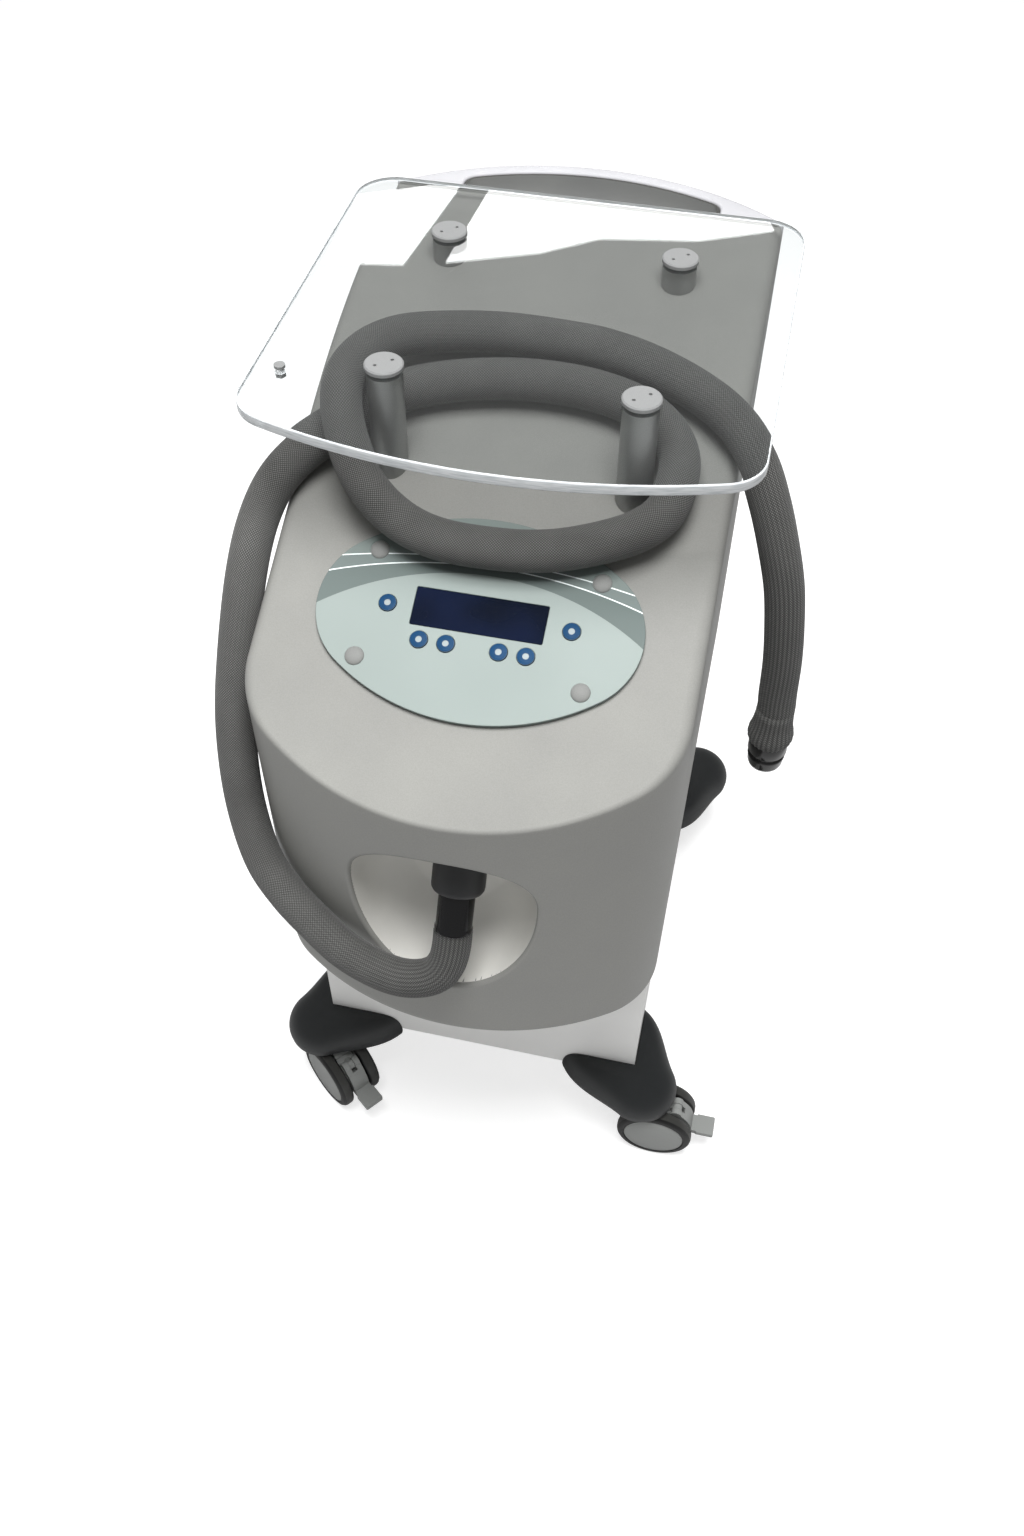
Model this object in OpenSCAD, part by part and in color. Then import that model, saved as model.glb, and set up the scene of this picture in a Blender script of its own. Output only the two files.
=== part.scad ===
// Cold-air therapy cart: a wheeled cabinet that blows chilled air through a hose.
// Millimetres, +Z up, front of the cart towards -Y, ground at Z = 0.

/* [Chassis] */
// Width across the painted side panels
chassis_w = 310; // [280:2:340]
// Depth of the chassis, front panel to rear panel
chassis_d = 395; // [370:1:420]
// Height of the chassis floor above the ground
chassis_z = 90; // [88:1:110]
// Height of the chassis panels
panel_h = 268; // [240:1:300]
// Thickness of the painted sheet
sheet_t = 2; // [1.5:0.5:3]
// Thickness of the corner brackets that carry the casters
bracket_t = 6; // [4:1:8]

/* [Hood] */
// How far the nose of the hood stands in front of the chassis
nose_out = 114; // [90:1:130]
// Height of the hood's lower edge above the ground
hood_z = 327; // [310:1:340]
// Wall of the hood
hood_t = 3; // [2.5:0.5:4]
// How far the inside of the hood's rear wall stands behind the chassis
hood_over = 10; // [6:1:16]
// Height of the sloped top where it passes above the front panel
slope_z = 647; // [630:1:660]
// Tilt of the control slope
slope_a = 25; // [20:1:28]
// Distance behind the front panel where the slope starts to flatten
slope_end = 140; // [120:1:150]
// Radius that the top flattens on
crown_r = 600; // [520:10:700]
// Radius of the nose seen from above
nose_r = 230; // [200:5:280]
// Radius of the nose corners seen from above
corner_r = 70; // [50:1:80]
// Radius of the long top edges
shoulder_r = 10; // [6:1:16]

/* [Hose bay] */
// Width of the bay in the nose
bay_w = 142; // [130:1:160]
// Height of the widest part of the bay above the ground
bay_z = 497; // [480:1:510]
// Rise of the bay above its widest part
bay_up = 55; // [45:1:60]
// Drop of the bay below its widest part
bay_down = 105; // [90:1:115]
// Depth of the bay
bay_depth = 62; // [50:1:70]
// Wall of the bay liner
bay_t = 2.5; // [2:0.5:4]
// Sideways place of the hose outlet
outlet_x = 8; // [0:1:15]
// Forward tilt of the hose outlet
outlet_tilt = 30; // [20:1:35]
// Outside diameter of the outlet socket
socket_d = 41; // [36:1:46]
// Bore of the outlet socket
socket_bore = 29; // [26:0.5:32]

/* [Control plate] */
// Width of the oval plate
plate_w = 236; // [200:2:250]
// Height of the oval plate along the slope
plate_h = 154; // [130:2:170]
// Thickness of the plate
plate_t = 4.5; // [3:0.5:6]
// Distance of the plate's centre behind the front panel
plate_y = 24; // [18:1:30]
// Display window width
window_w = 96; // [80:1:100]
// Display window height
window_h = 29; // [24:1:34]
// Display window centre above the plate centre
window_v = 3.5; // [0:0.5:6]
// Button diameter
button_d = 12.6; // [10:0.2:14]
// How far a button goes in
button_travel = 0.8; // [0.5:0.1:1]
// How far a button stands out of the plate
button_proud = 1; // [0.9:0.1:2]
// Plate screw spacing across
screw_w = 162; // [140:2:170]
// Plate screw spacing along the slope
screw_h = 82; // [70:2:90]

/* [Tray] */
// Width of the clear tray
tray_w = 360; // [340:2:380]
// Thickness of the tray
tray_t = 8; // [6:1:10]
// Height of the tray's underside above the ground
tray_z = 778; // [776:1:800]
// Front of the tray behind the front panel
tray_front = 27; // [10:1:40]
// Gap between the tray's rear edge and the handle
tray_gap = 20.2; // [10:0.2:40]
// Corner radius of the tray
tray_r = 32; // [20:1:40]
// Radius of the tray's bowed front edge
tray_bow = 522; // [450:1:700]
// Diameter of the tray posts
post_d = 26; // [20:1:30]
// Post spacing across
post_w = 180; // [160:2:200]
// Front posts behind the front panel
post_front = 126; // [116:1:136]
// Rear posts behind the front panel
post_rear = 309; // [290:1:330]
// Diameter of the post caps
cap_d = 28; // [26:1:34]

/* [Handle] */
// How far the handle reaches behind the hood
handle_reach = 67.8; // [60:0.2:80]
// Height of the handle's top above the ground
handle_top = 768; // [755:1:780]
// Height of the handle's bar
handle_h = 36; // [30:1:44]
// Width of the grip opening
grip_w = 216; // [180:2:240]
// Width of the bar round the grip opening
grip_bar = 14; // [10:1:20]
// Depth of the grip pocket
grip_h = 40; // [30:1:44]

/* [Casters] */
// Wheel diameter
wheel_d = 75; // [65:1:80]
// Width over both wheels
wheel_w = 46; // [42:1:50]
// Width of one tyre
tyre_w = 13; // [12:0.5:15]
// Thickness of the tyre
tyre_t = 7.5; // [5:0.5:9]
// Distance from the swivel axis to the axle
trail = 23; // [20:1:28]
// Swivel axes outside the chassis sides
caster_out_x = 7; // [0:1:14]
// Swivel axes in front of and behind the chassis
caster_out_y = 13; // [6:1:16]
// Swivel stem diameter
stem_d = 8; // [7:0.5:9]
// Axle diameter
axle_d = 8; // [6:0.5:10]
// Running clearance of stems and axles on the radius
run_gap = 0.05; // [0.02:0.01:0.1]
// Brake pedal lift when released, in degrees
pedal_lift = 18; // [10:1:20]

/* [Bumpers] */
// Radius of the bumper round the corner
bumper_r = 36; // [32:1:40]
// Shift of that round off the chassis corner
bumper_off = 9; // [6:1:12]
// Reach of each wing along the chassis
bumper_wing = 74; // [60:1:90]
// Height of the bumper
bumper_h = 32; // [26:1:40]
// Wall of the bumper
bumper_t = 4; // [3:0.5:5]

/* [Hose] */
// Outside diameter of the hose
hose_d = 30; // [26:1:30]
// Diameter of the end cuffs
cuff_d = 28; // [24:0.5:30]
// Bore through the hose's end pieces
air_bore = 18; // [14:1:20]
// Diameter over the flared sleeve at the hose's end
flare_d = 38; // [36:1:44]

/* [Fits] */
// Gap between pieces that lie against each other
seat_gap = 0.2; // [0.1:0.05:0.3]
// Gap round pieces that move
move_gap = 0.3; // [0.3:0.05:0.5]

/* [Hidden] */

off_white = [0.86, 0.86, 0.85];
hood_grey = [0.6, 0.61, 0.6];
dark_grey = [0.25, 0.25, 0.26];
mid_grey = [0.5, 0.51, 0.52];
black = [0.08, 0.08, 0.09];
steel = [0.75, 0.76, 0.78];
copper = [0.72, 0.43, 0.25];
blue = [0.13, 0.36, 0.62];

half_w = chassis_w / 2;
// Everything but the hose is drawn from the front panel's face and then moved back
hood_rear = chassis_d + hood_over + hood_t;
handle_y = hood_rear + seat_gap;
handle_end = handle_y + handle_reach;
front_y = nose_out - (nose_out + handle_end) / 2;
module from_front() translate([0, front_y, 0]) children();

// ---------- Tubes swept along points ----------
function unit(v) = v / norm(v);
function way(p, k) = unit(p[min(k + 1, len(p) - 1)] - p[max(k - 1, 0)]);
function flat(v, t) = unit(v - (v * t) * t);
// Side directions carried along the points, so that the tube doesn't twist
function sides(p, k, s) = k == len(p) ? [] : let(n = flat(s, way(p, k))) concat([n], sides(p, k + 1, n));
module tube(p, r, n) {
  m = len(p);
  dirs = sides(p, 0, abs(way(p, 0)[0]) > 0.9 ? [0, 0, 1] : [1, 0, 0]);
  loft([for (k = [0:m - 1]) let(t = way(p, k), u = dirs[k], v = cross(t, u))
    [for (j = [0:n - 1]) let(a = 360 * j / n) p[k] + r * (cos(a) * u + sin(a) * v)]]);
}
// Four corners of patch k between rings j and j + 1 of n points, from point b on
function patch(j, k, n, b) = [b + j * n + k, b + j * n + (k + 1) % n,
  b + (j + 1) * n + (k + 1) % n, b + (j + 1) * n + k];

// Solid through a row of rings, each a convex ring of as many points
module loft(rings) {
  m = len(rings);
  n = len(rings[0]);
  polyhedron([for (ring = rings) each ring], [
    for (j = [0:m - 2], k = [0:n - 1]) let(q = patch(j, k, n, 0)) each
      [[q[0], q[1], q[2]], [q[0], q[2], q[3]]],
    for (k = [1:n - 2]) [0, k + 1, k],
    for (k = [1:n - 2]) [(m - 1) * n, (m - 1) * n + k, (m - 1) * n + k + 1]]);
}

// ---------- Hood form ----------
pad_gap = 3;
hood_half = half_w + pad_gap + hood_t;
crown_y = slope_end + crown_r * sin(slope_a);
slope_end_z = slope_z + slope_end * tan(slope_a);
crown_z = slope_end_z - crown_r * cos(slope_a);
// Height of the hood's top above a point at distance y behind the front panel
function deck(y) = y < slope_end ? slope_z + y * tan(slope_a)
  : crown_z + sqrt(crown_r * crown_r - pow(crown_y - y, 2));
nose_cy = nose_r - nose_out;
corner_x = hood_half - corner_r;
corner_y = nose_cy - sqrt(pow(nose_r - corner_r, 2) - corner_x * corner_x);
// Front of the hood, less an inset, at distance x from the middle
function nose_y(x, i) = nose_cy - sqrt(pow(nose_r - i, 2) - x * x);

module hood_plan(i) {
  turn = atan2(corner_x, nose_cy - corner_y);
  intersection() {
    translate([0, nose_cy]) circle(nose_r - i, $fn = 240);
    translate([-(nose_r - i) * sin(turn), -nose_out - 1])
      square([2 * (nose_r - i) * sin(turn), nose_out + 1 + nose_cy - nose_r * cos(turn) + 80]);
  }
  for (s = [-1, 1]) translate([s * corner_x, corner_y]) circle(corner_r - i, $fn = 96);
  translate([-hood_half + i, corner_y]) square([2 * (hood_half - i), hood_rear - i - corner_y]);
}

// Cross-section of the hood at distance y, less an inset, as a ring of points [x, y, z]
shoulder_steps = 6;
function tilt(y) = y < slope_end ? slope_a : asin((crown_y - y) / crown_r);
function hood_ring(y, i, low) = let(h = hood_half - i, r = max(shoulder_r - i, 1),
    top = deck(y) - i / cos(tilt(y)))
  [[h, y, low], for (k = [0:shoulder_steps]) let(a = 90 * k / shoulder_steps)
      [h - r + r * cos(a), y, top - r + r * sin(a)],
    for (k = [0:shoulder_steps]) let(a = 90 + 90 * k / shoulder_steps)
      [-h + r + r * cos(a), y, top - r + r * sin(a)], [-h, y, low]];
crown_steps = 10;
rear_over = 16;
crown_end = asin((crown_y - hood_rear - rear_over) / crown_r);
stations = [-nose_out - 10, slope_end,
  for (k = [1:crown_steps]) crown_y - crown_r * sin(slope_a + (crown_end - slope_a) * k / crown_steps)];
module hood_form(i, low) intersection() {
  translate([0, 0, low]) linear_extrude(crown_z + crown_r - low + 10) hood_plan(i);
  loft([for (y = stations) hood_ring(y, i, low - 1)]);
}

// Outline of the bay as points [x, z], grown by g
function bay_pt(a, g) = let(
    up = sin(a) > 0, n = up ? 2.3 : 2.1, b = up ? bay_up : bay_down,
    c = abs(cos(a)), s = abs(sin(a)))
  [sign(cos(a)) * (bay_w / 2 + g) * pow(c, 2 / n),
   bay_z + (up ? 1 : -1) * (b + g) * pow(s, 2 / n)];
bay_sides = 48;
function bay_outline(g) = [for (k = [0:bay_sides - 1]) bay_pt(360 * k / bay_sides, g)];

// Outlet axis: the socket's mouth, then up and back into the hood
outlet_mouth = [outlet_x, -88, 489];
module on_outlet() translate(outlet_mouth) rotate([-outlet_tilt, 0, 0]) children();
socket_len = 62;
cuff_in = 22;
cuff_out = 34;

module hood() color(hood_grey) from_front() {
  difference() {
    hood_form(0, hood_z);
    hood_form(hood_t, hood_z - 5);
    translate([0, -nose_out / 2, 0]) rotate([90, 0, 0])
      linear_extrude(nose_out) polygon(bay_outline(0));
    on_plate() {
      translate([-window_w / 2 + 6, window_v - window_h / 2 + 4, -10])
        cube([window_w - 12, window_h - 8, 20]);
      for (b = button_places) translate([b[0], b[1], -10])
        cylinder(d = button_stem + 2 * move_gap, h = 20, $fn = 32);
      screw_places() translate([0, 0, -10]) cylinder(d = 5.6, h = 20, $fn = 32);
    }
    for (y = [post_front, post_rear], s = [-1, 1])
      translate([s * post_w / 2, y, deck(y) - 30])
        cylinder(d = spigot_d + 2 * seat_gap, h = 60, $fn = 32);
  }
  // Closing web under the nose
  intersection() {
    hood_form(hood_t / 2, hood_z);
    translate([-hood_half, -nose_out, hood_z])
      cube([2 * hood_half, nose_out - move_gap, hood_t]);
  }
  // Pads that locate the hood on the side panels
  for (s = [-1, 1], y = [40, chassis_d / 2, chassis_d - 60])
    mirror([s < 0 ? 1 : 0, 0, 0]) {
      translate([half_w + seat_gap, y, hood_z + 4]) cube([pad_gap - seat_gap, 24, shelf_z - hood_z]);
      translate([half_w - 8, y, shelf_z + sheet_t + seat_gap]) cube([8 + pad_gap, 24, 8]);
    }
}

// Bay liner: a bowl behind the nose opening
liner_rings = 7;
function liner_pt(k, t, g) = let(
    p = bay_pt(360 * k / bay_sides, g), s = 1 - 0.4 * pow(t, 2.2), x = p[0] * s,
    rim = nose_y(p[0], hood_t) + seat_gap, back = -nose_out + bay_depth + (g > 0 ? bay_t : 0))
  [x, rim + (back - rim) * pow(t, 0.8), bay_z + (p[1] - bay_z) * s];
function liner_ring(t, g) = [for (k = [0:bay_sides - 1]) liner_pt(k, t, g)];
module bay_liner() color(hood_grey) from_front() {
  n = bay_sides;
  m = liner_rings;
  inner = [for (j = [0:m]) each liner_ring(j / m, 0)];
  outer = [for (j = [0:m]) each liner_ring(j / m, bay_t)];
  o = n * (m + 1);
  mid = [[0, -nose_out + bay_depth, bay_z], [0, -nose_out + bay_depth + bay_t, bay_z]];
  faces = [
    for (j = [0:m - 1], k = [0:n - 1]) let(w = patch(j, k, n, 0)) each
      [[w[0], w[1], w[2]], [w[0], w[2], w[3]]],
    for (j = [0:m - 1], k = [0:n - 1]) let(w = patch(j, k, n, o)) each
      [[w[2], w[1], w[0]], [w[3], w[2], w[0]]],
    for (k = [0:n - 1]) each [[o + k, o + (k + 1) % n, (k + 1) % n], [o + k, (k + 1) % n, k]],
    for (k = [0:n - 1]) [m * n + k, m * n + (k + 1) % n, 2 * o],
    for (k = [0:n - 1]) [o + m * n + (k + 1) % n, o + m * n + k, 2 * o + 1]];
  difference() {
    polyhedron(concat(inner, outer, mid), faces);
    on_outlet() translate([0, 0, -10]) cylinder(d = socket_d + 2 * move_gap, h = 140, $fn = 64);
  }
}

module hose_socket() color(dark_grey) from_front() on_outlet() difference() {
  cylinder(d = socket_d, h = socket_len, $fn = 96);
  translate([0, 0, -1]) cylinder(d = socket_bore, h = socket_len + 2, $fn = 96);
  translate([0, 0, -0.01]) cylinder(d1 = socket_bore + 3, d2 = socket_bore, h = 1.5, $fn = 96);
}

// Duct from the blower's mouth down to the socket
duct_t = 2;
duct_back = 35;
module duct_box(i) {
  w = blower_w - 2 * i;
  translate([outlet_x - w / 2, duct_front + i, duct_low + i])
    cube([w, duct_back - duct_front, duct_high - duct_low - 2 * i]);
}
duct_front = -66;
duct_low = 546;
duct_high = 596;
module air_duct() color(mid_grey) from_front() difference() {
  union() {
    duct_box(0);
    on_outlet() translate([0, 0, socket_len + seat_gap])
      cylinder(d = socket_d + 8, h = 26, $fn = 64);
  }
  duct_box(duct_t);
  on_outlet() {
    translate([0, 0, socket_len]) cylinder(d = socket_bore, h = 34, $fn = 64);
    translate([0, 0, -1]) cylinder(d = socket_d + 2 * move_gap, h = socket_len + seat_gap + 1, $fn = 64);
  }
}

// ---------- Control plate, drawn flat and laid on the slope ----------
module on_plate() translate([0, plate_y, deck(plate_y)]) rotate([slope_a, 0, 0]) children();
module screw_places() for (sx = [-1, 1], sy = [-1, 1])
  translate([sx * screw_w / 2, sy * screw_h / 2, 0]) children();
button_stem = 5;
outer_key_x = 66.5;
row_key_v = -21.5;
button_places = [[-outer_key_x, 2], [outer_key_x, 2],
  [-38.5, row_key_v], [-19, row_key_v], [19, row_key_v], [38.5, row_key_v]];

module oval(w, h) {
  r1 = h * 0.37;
  c = w / 2 - r1;
  r2 = (c * c + h * h / 4 - r1 * r1) / (h - 2 * r1);
  x = c * r2 / (r2 - r1);
  intersection() {
    translate([0, h / 2 - r2]) circle(r2, $fn = 240);
    translate([0, r2 - h / 2]) circle(r2, $fn = 240);
    square([2 * x, h], center = true);
  }
  for (s = [-1, 1]) translate([s * c, 0]) circle(r1, $fn = 120);
}

module control_plate() color([0.74, 0.8, 0.79]) from_front() on_plate() difference() {
  translate([0, 0, seat_gap]) linear_extrude(plate_t - seat_gap) difference() {
    oval(plate_w, plate_h);
    translate([0, window_v]) square([window_w, window_h], center = true);
    for (b = button_places) translate(b) circle(d = button_d + 2 * move_gap, $fn = 48);
    screw_places() circle(d = 5.4, $fn = 32);
  }
}

module display_window() color([0.03, 0.05, 0.12]) from_front() on_plate()
  translate([-window_w / 2 + seat_gap, window_v - window_h / 2 + seat_gap, seat_gap])
    cube([window_w - 2 * seat_gap, window_h - 2 * seat_gap, plate_t - 2 * seat_gap]);

board_drop = 13;
module plate_screws() color(steel) from_front() on_plate() screw_places() {
  translate([0, 0, plate_t]) intersection() {
    cylinder(d = 14, h = 3, $fn = 64);
    translate([0, 0, -7.5]) sphere(10.4, $fn = 64);
  }
  translate([0, 0, -board_drop]) cylinder(d = 5, h = board_drop + plate_t, $fn = 32);
}

module control_board() color([0.1, 0.35, 0.2]) from_front() on_plate() {
  difference() {
    union() {
      translate([-screw_w / 2 - 7, -screw_h / 2 - 7, -board_drop - 1.6])
        cube([screw_w + 14, screw_h + 14, 1.6]);
      screw_places() translate([0, 0, -board_drop])
        cylinder(d = 11, h = board_drop - hood_t - seat_gap, $fn = 32);
    }
    screw_places() translate([0, 0, -board_drop - 5]) cylinder(d = 5.1, h = 30, $fn = 32);
  }
  for (b = button_places) translate([b[0] - 3, b[1] - 3, -board_drop])
    cube([6, 6, board_drop - button_reach - button_travel - seat_gap]);
  translate([-window_w / 2 + 4, window_v - window_h / 2 + 2, -board_drop])
    cube([window_w - 8, window_h - 4, board_drop - hood_t - 1]);
}

button_reach = 9;
module button(i) color(blue) from_front() on_plate()
  translate([button_places[i][0], button_places[i][1], 0]) {
    translate([0, 0, button_travel + 0.6]) difference() {
      cylinder(d = button_d, h = plate_t + button_proud - button_travel - 0.6, $fn = 64);
      translate([0, 0, plate_t + button_proud - button_travel - 1]) cylinder(d = 4.6, h = 2, $fn = 48);
    }
    translate([0, 0, -button_reach]) cylinder(d = button_stem, h = button_reach + 2, $fn = 32);
  }
module button_power() button(0);
module button_start() button(1);
module key_1() button(2);
module key_2() button(3);
module key_3() button(4);
module key_4() button(5);

// ---------- Tray and its posts ----------
tray_rear = handle_y - tray_gap;
spigot_d = 8;
// What lies under the hood's top round the posts at distance y
module under_deck(y) translate([-post_w, 0, 0]) rotate([90, 0, 90]) linear_extrude(2 * post_w)
  polygon([[y + post_d, deck(y) - 60], [y - post_d, deck(y) - 60],
    for (k = [-4:4]) let(v = y + k * post_d / 4) [v, deck(v) + seat_gap / cos(tilt(v))]]);
module post_pair(y) for (s = [-1, 1]) translate([s * post_w / 2, y, 0]) {
  difference() {
    translate([0, 0, deck(y) - 25]) cylinder(d = post_d, h = tray_z - deck(y) + 25, $fn = 96);
    translate([-s * post_w / 2, -y, 0]) under_deck(y);
    translate([0, 0, tray_z - 6]) cylinder(d = cap_boss + 2 * seat_gap, h = 7, $fn = 48);
  }
  translate([0, 0, deck(y) - 14]) cylinder(d = spigot_d, h = 18, $fn = 48);
}
cap_boss = 11;
module front_posts() color(steel) from_front() post_pair(post_front);
module rear_posts() color(steel) from_front() post_pair(post_rear);
module post_places() for (y = [post_front, post_rear], s = [-1, 1])
  translate([s * post_w / 2, y, 0]) children();

module post_caps() color(steel) from_front() post_places() difference() {
  union() {
    translate([0, 0, tray_z + tray_t + seat_gap]) cylinder(d = cap_d, h = 2.5, $fn = 96);
    translate([0, 0, tray_z + tray_t + seat_gap + 2.5])
      cylinder(d1 = cap_d, d2 = cap_d - 2, h = 1, $fn = 96);
    translate([0, 0, tray_z - 5]) cylinder(d = cap_boss, h = tray_t + 6, $fn = 48);
  }
  for (s = [-1, 1]) translate([s * 5, s * 4.5, tray_z + tray_t + 1.5])
    cylinder(d = 2.6, h = 5, $fn = 24);
}

module tray_plan() {
  cx = tray_w / 2 - tray_r;
  bow_y = tray_front + tray_bow;
  side_y = bow_y - sqrt(pow(tray_bow - tray_r, 2) - cx * cx);
  edge_x = cx * tray_bow / (tray_bow - tray_r);
  for (s = [-1, 1], y = [side_y, tray_rear - tray_r]) translate([s * cx, y])
    circle(tray_r, $fn = 96);
  translate([-tray_w / 2, side_y]) square([tray_w, tray_rear - tray_r - side_y]);
  translate([-cx, side_y]) square([2 * cx, tray_rear - side_y]);
  intersection() {
    translate([0, bow_y]) circle(tray_bow, $fn = 360);
    translate([-edge_x, tray_front - 1]) square([2 * edge_x, side_y - tray_front + 2]);
  }
}

stud_at = [-160, 110];
module tray() color([0.9, 0.95, 0.97, 0.3]) from_front() translate([0, 0, tray_z])
  linear_extrude(tray_t) difference() {
    tray_plan();
    for (y = [post_front, post_rear], s = [-1, 1]) translate([s * post_w / 2, y])
      circle(d = cap_boss + 2 * move_gap, $fn = 48);
    translate(stud_at) circle(d = 5 + 2 * seat_gap, $fn = 32);
  }

module tray_stud() color(steel) from_front() translate([stud_at[0], stud_at[1], tray_z]) {
  translate([0, 0, -2]) cylinder(d = 5, h = tray_t + 3, $fn = 32);
  translate([0, 0, tray_t + seat_gap]) cylinder(d = 8, h = 2, $fn = 32);
  translate([0, 0, -3 - seat_gap]) cylinder(d = 8, h = 3, $fn = 6);
}

// ---------- Handle: a bowed bar behind the hood, with a dished pocket for the fingers ----------
handle_rise = 57;
handle_r = (hood_half * hood_half + handle_rise * handle_rise) / (2 * handle_rise);
handle_cy = handle_end - handle_r;
handle_foot = 110;
module handle_plan() intersection() {
  translate([0, handle_cy]) circle(handle_r, $fn = 360);
  translate([-hood_half, handle_y]) square([2 * hood_half, handle_reach + 1]);
}

// Outline of the grip opening, drawn in by i, as a convex ring of points [x, y]
grip_corner = 14;
grip_near = 6;
grip_wall = 4;
grip_steps = 8;
grip_cy = handle_cy + sqrt(pow(handle_r - grip_bar - grip_corner, 2) - pow(grip_w / 2 - grip_corner, 2));
grip_turn = atan2(grip_cy - handle_cy, grip_w / 2 - grip_corner);
function turned(c, r, a, b, n) = [for (k = [0:n]) let(t = a + (b - a) * k / n) c + r * [cos(t), sin(t)]];
function grip_half(i) = concat(
  turned([grip_w / 2 - grip_near, handle_y + grip_wall + grip_near], grip_near - i, -90, 0, 4),
  turned([grip_w / 2 - grip_corner, grip_cy], grip_corner - i, 0, grip_turn, grip_steps),
  [for (k = [1:grip_steps]) let(t = grip_turn + (90 - grip_turn) * k / grip_steps)
    [0, handle_cy] + (handle_r - grip_bar - i) * [cos(t), sin(t)]]);
function grip_ring(i) = let(h = grip_half(i), n = len(h))
  concat(h, [for (k = [n - 2:-1:0]) [-h[k][0], h[k][1]]]);
grip_mid = [0, (handle_y + grip_wall + handle_end - grip_bar) / 2];
// Inside of the pocket at share t of its depth
function pocket_ring(t) = let(s = 1 - 0.4 * pow(t, 2.5))
  [for (p = grip_ring(seat_gap + 2.5)) let(q = grip_mid + s * (p - grip_mid))
    [q[0], q[1], handle_top - grip_h * pow(t, 0.85)]];

module handle_frame() color([0.8, 0.81, 0.82]) from_front() difference() {
  translate([0, 0, handle_top - handle_foot]) linear_extrude(handle_foot) handle_plan();
  // Sloping underside
  translate([-hood_half - 1, 0, 0]) rotate([90, 0, 90]) linear_extrude(2 * hood_half + 2)
    polygon([[handle_y + 8, handle_top - handle_foot - 1], [handle_y + 8, handle_top - handle_foot],
      [handle_end + 0.01, handle_top - handle_h], [handle_end + 9, handle_top - handle_h],
      [handle_end + 9, handle_top - handle_foot - 1]]);
  translate([0, 0, handle_top - grip_h - 3 - 2 * seat_gap])
    linear_extrude(grip_h + 10) polygon(grip_ring(0));
}
module handle_grip() color(dark_grey) from_front() difference() {
  translate([0, 0, handle_top - grip_h - 3]) linear_extrude(grip_h + 3) polygon(grip_ring(seat_gap));
  loft(concat([[for (p = pocket_ring(0)) p + [0, 0, 1]]], [for (k = [0:8]) pocket_ring(k / 8)]));
}

// ---------- Chassis ----------
swivel_x = half_w + caster_out_x;
swivel_ys = [-caster_out_y, chassis_d + caster_out_y];
thrust_z = wheel_d + 2;
module corners() for (sx = [-1, 1], k = [0, 1]) translate([sx * half_w, k * chassis_d, 0])
  mirror([sx < 0 ? 1 : 0, 0, 0]) mirror([0, k, 0]) children();

module base_frame() color(off_white) from_front() {
  in = sheet_t + seat_gap;
  difference() {
    translate([-half_w + in, in, chassis_z]) cube([chassis_w - 2 * in, chassis_d - 2 * in, 22]);
    translate([-half_w + in + sheet_t, in + sheet_t, chassis_z + sheet_t + 1])
      cube([chassis_w - 2 * in - 2 * sheet_t, chassis_d - 2 * in - 2 * sheet_t, 30]);
  }
  corners() {
    translate([0, 0, chassis_z - bracket_t]) linear_extrude(bracket_t) difference() {
      union() {
        translate([caster_out_x, -caster_out_y]) circle(16, $fn = 64);
        polygon([[caster_out_x + 16, -caster_out_y], [caster_out_x + 12, 20], [-30, 50],
          [-50, 30], [-20, -9], [caster_out_x, -caster_out_y - 16]]);
      }
    }
    translate([caster_out_x, -caster_out_y, stem_low])
      cylinder(d = stem_d, h = chassis_z - stem_low - 1, $fn = 64);
  }
}
stem_low = 50;

module front_panel() color(off_white) from_front()
  translate([-half_w, 0, chassis_z]) cube([chassis_w, sheet_t, panel_h]);

slot_count = 8;
module side_panels() color(off_white) from_front() for (s = [-1, 1]) difference() {
  translate([s > 0 ? half_w - sheet_t : -half_w, sheet_t + seat_gap, chassis_z])
    cube([sheet_t, chassis_d - 2 * sheet_t - 2 * seat_gap, panel_h]);
  for (k = [0:slot_count - 1]) translate([s * half_w - 5, chassis_d - 150, chassis_z + 50 + 14 * k])
    cube([10, 100, 6]);
}

fan_d = 180;
fan_at = [0, chassis_z + 130];
inlet_at = [-104, chassis_z + 48];
inlet_w = 27;
inlet_h = 20;
rocker_x = 34;
module rear_panel() color(off_white) from_front() difference() {
  translate([-half_w, chassis_d - sheet_t, chassis_z]) cube([chassis_w, sheet_t, panel_h]);
  // Fan grille: level slots inside a circle
  for (k = [-6:6]) let(w = sqrt(pow(fan_d / 2, 2) - pow(13 * k, 2)), bar = 3)
    for (s = [-1, 1]) translate([fan_at[0] + (s > 0 ? bar : -w), chassis_d - 6, fan_at[1] + 13 * k - 3.5])
      cube([w - bar, 12, 7]);
  translate([inlet_at[0] - inlet_w / 2 - 1, chassis_d - 6, inlet_at[1] - inlet_h / 2 - 1])
    cube([inlet_w + 2, 12, inlet_h + 2]);
  translate([inlet_at[0] + rocker_x - rocker_w / 2 - 3.5, chassis_d - 6, inlet_at[1] - 13])
    cube([rocker_w + 7, 12, 26]);
}

shelf_z = chassis_z + panel_h + seat_gap;
module inner_shelf() color(steel) from_front() difference() {
  translate([-half_w, sheet_t, shelf_z]) cube([chassis_w, chassis_d - 2 * sheet_t, sheet_t]);
  for (k = [0, 1]) translate([line_x + 30 * k, line_y + 20 * k, shelf_z - 1])
    cylinder(d = 12, h = 8, $fn = 32);
  for (x = [-90, 40]) translate([x, 220, shelf_z - 1]) cube([60, 120, 8]);
}

// ---------- Bumpers: a shell lofted round each chassis corner ----------
bumper_low = 80;
bumper_rings = 8;
arc_steps = 14;
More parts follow.
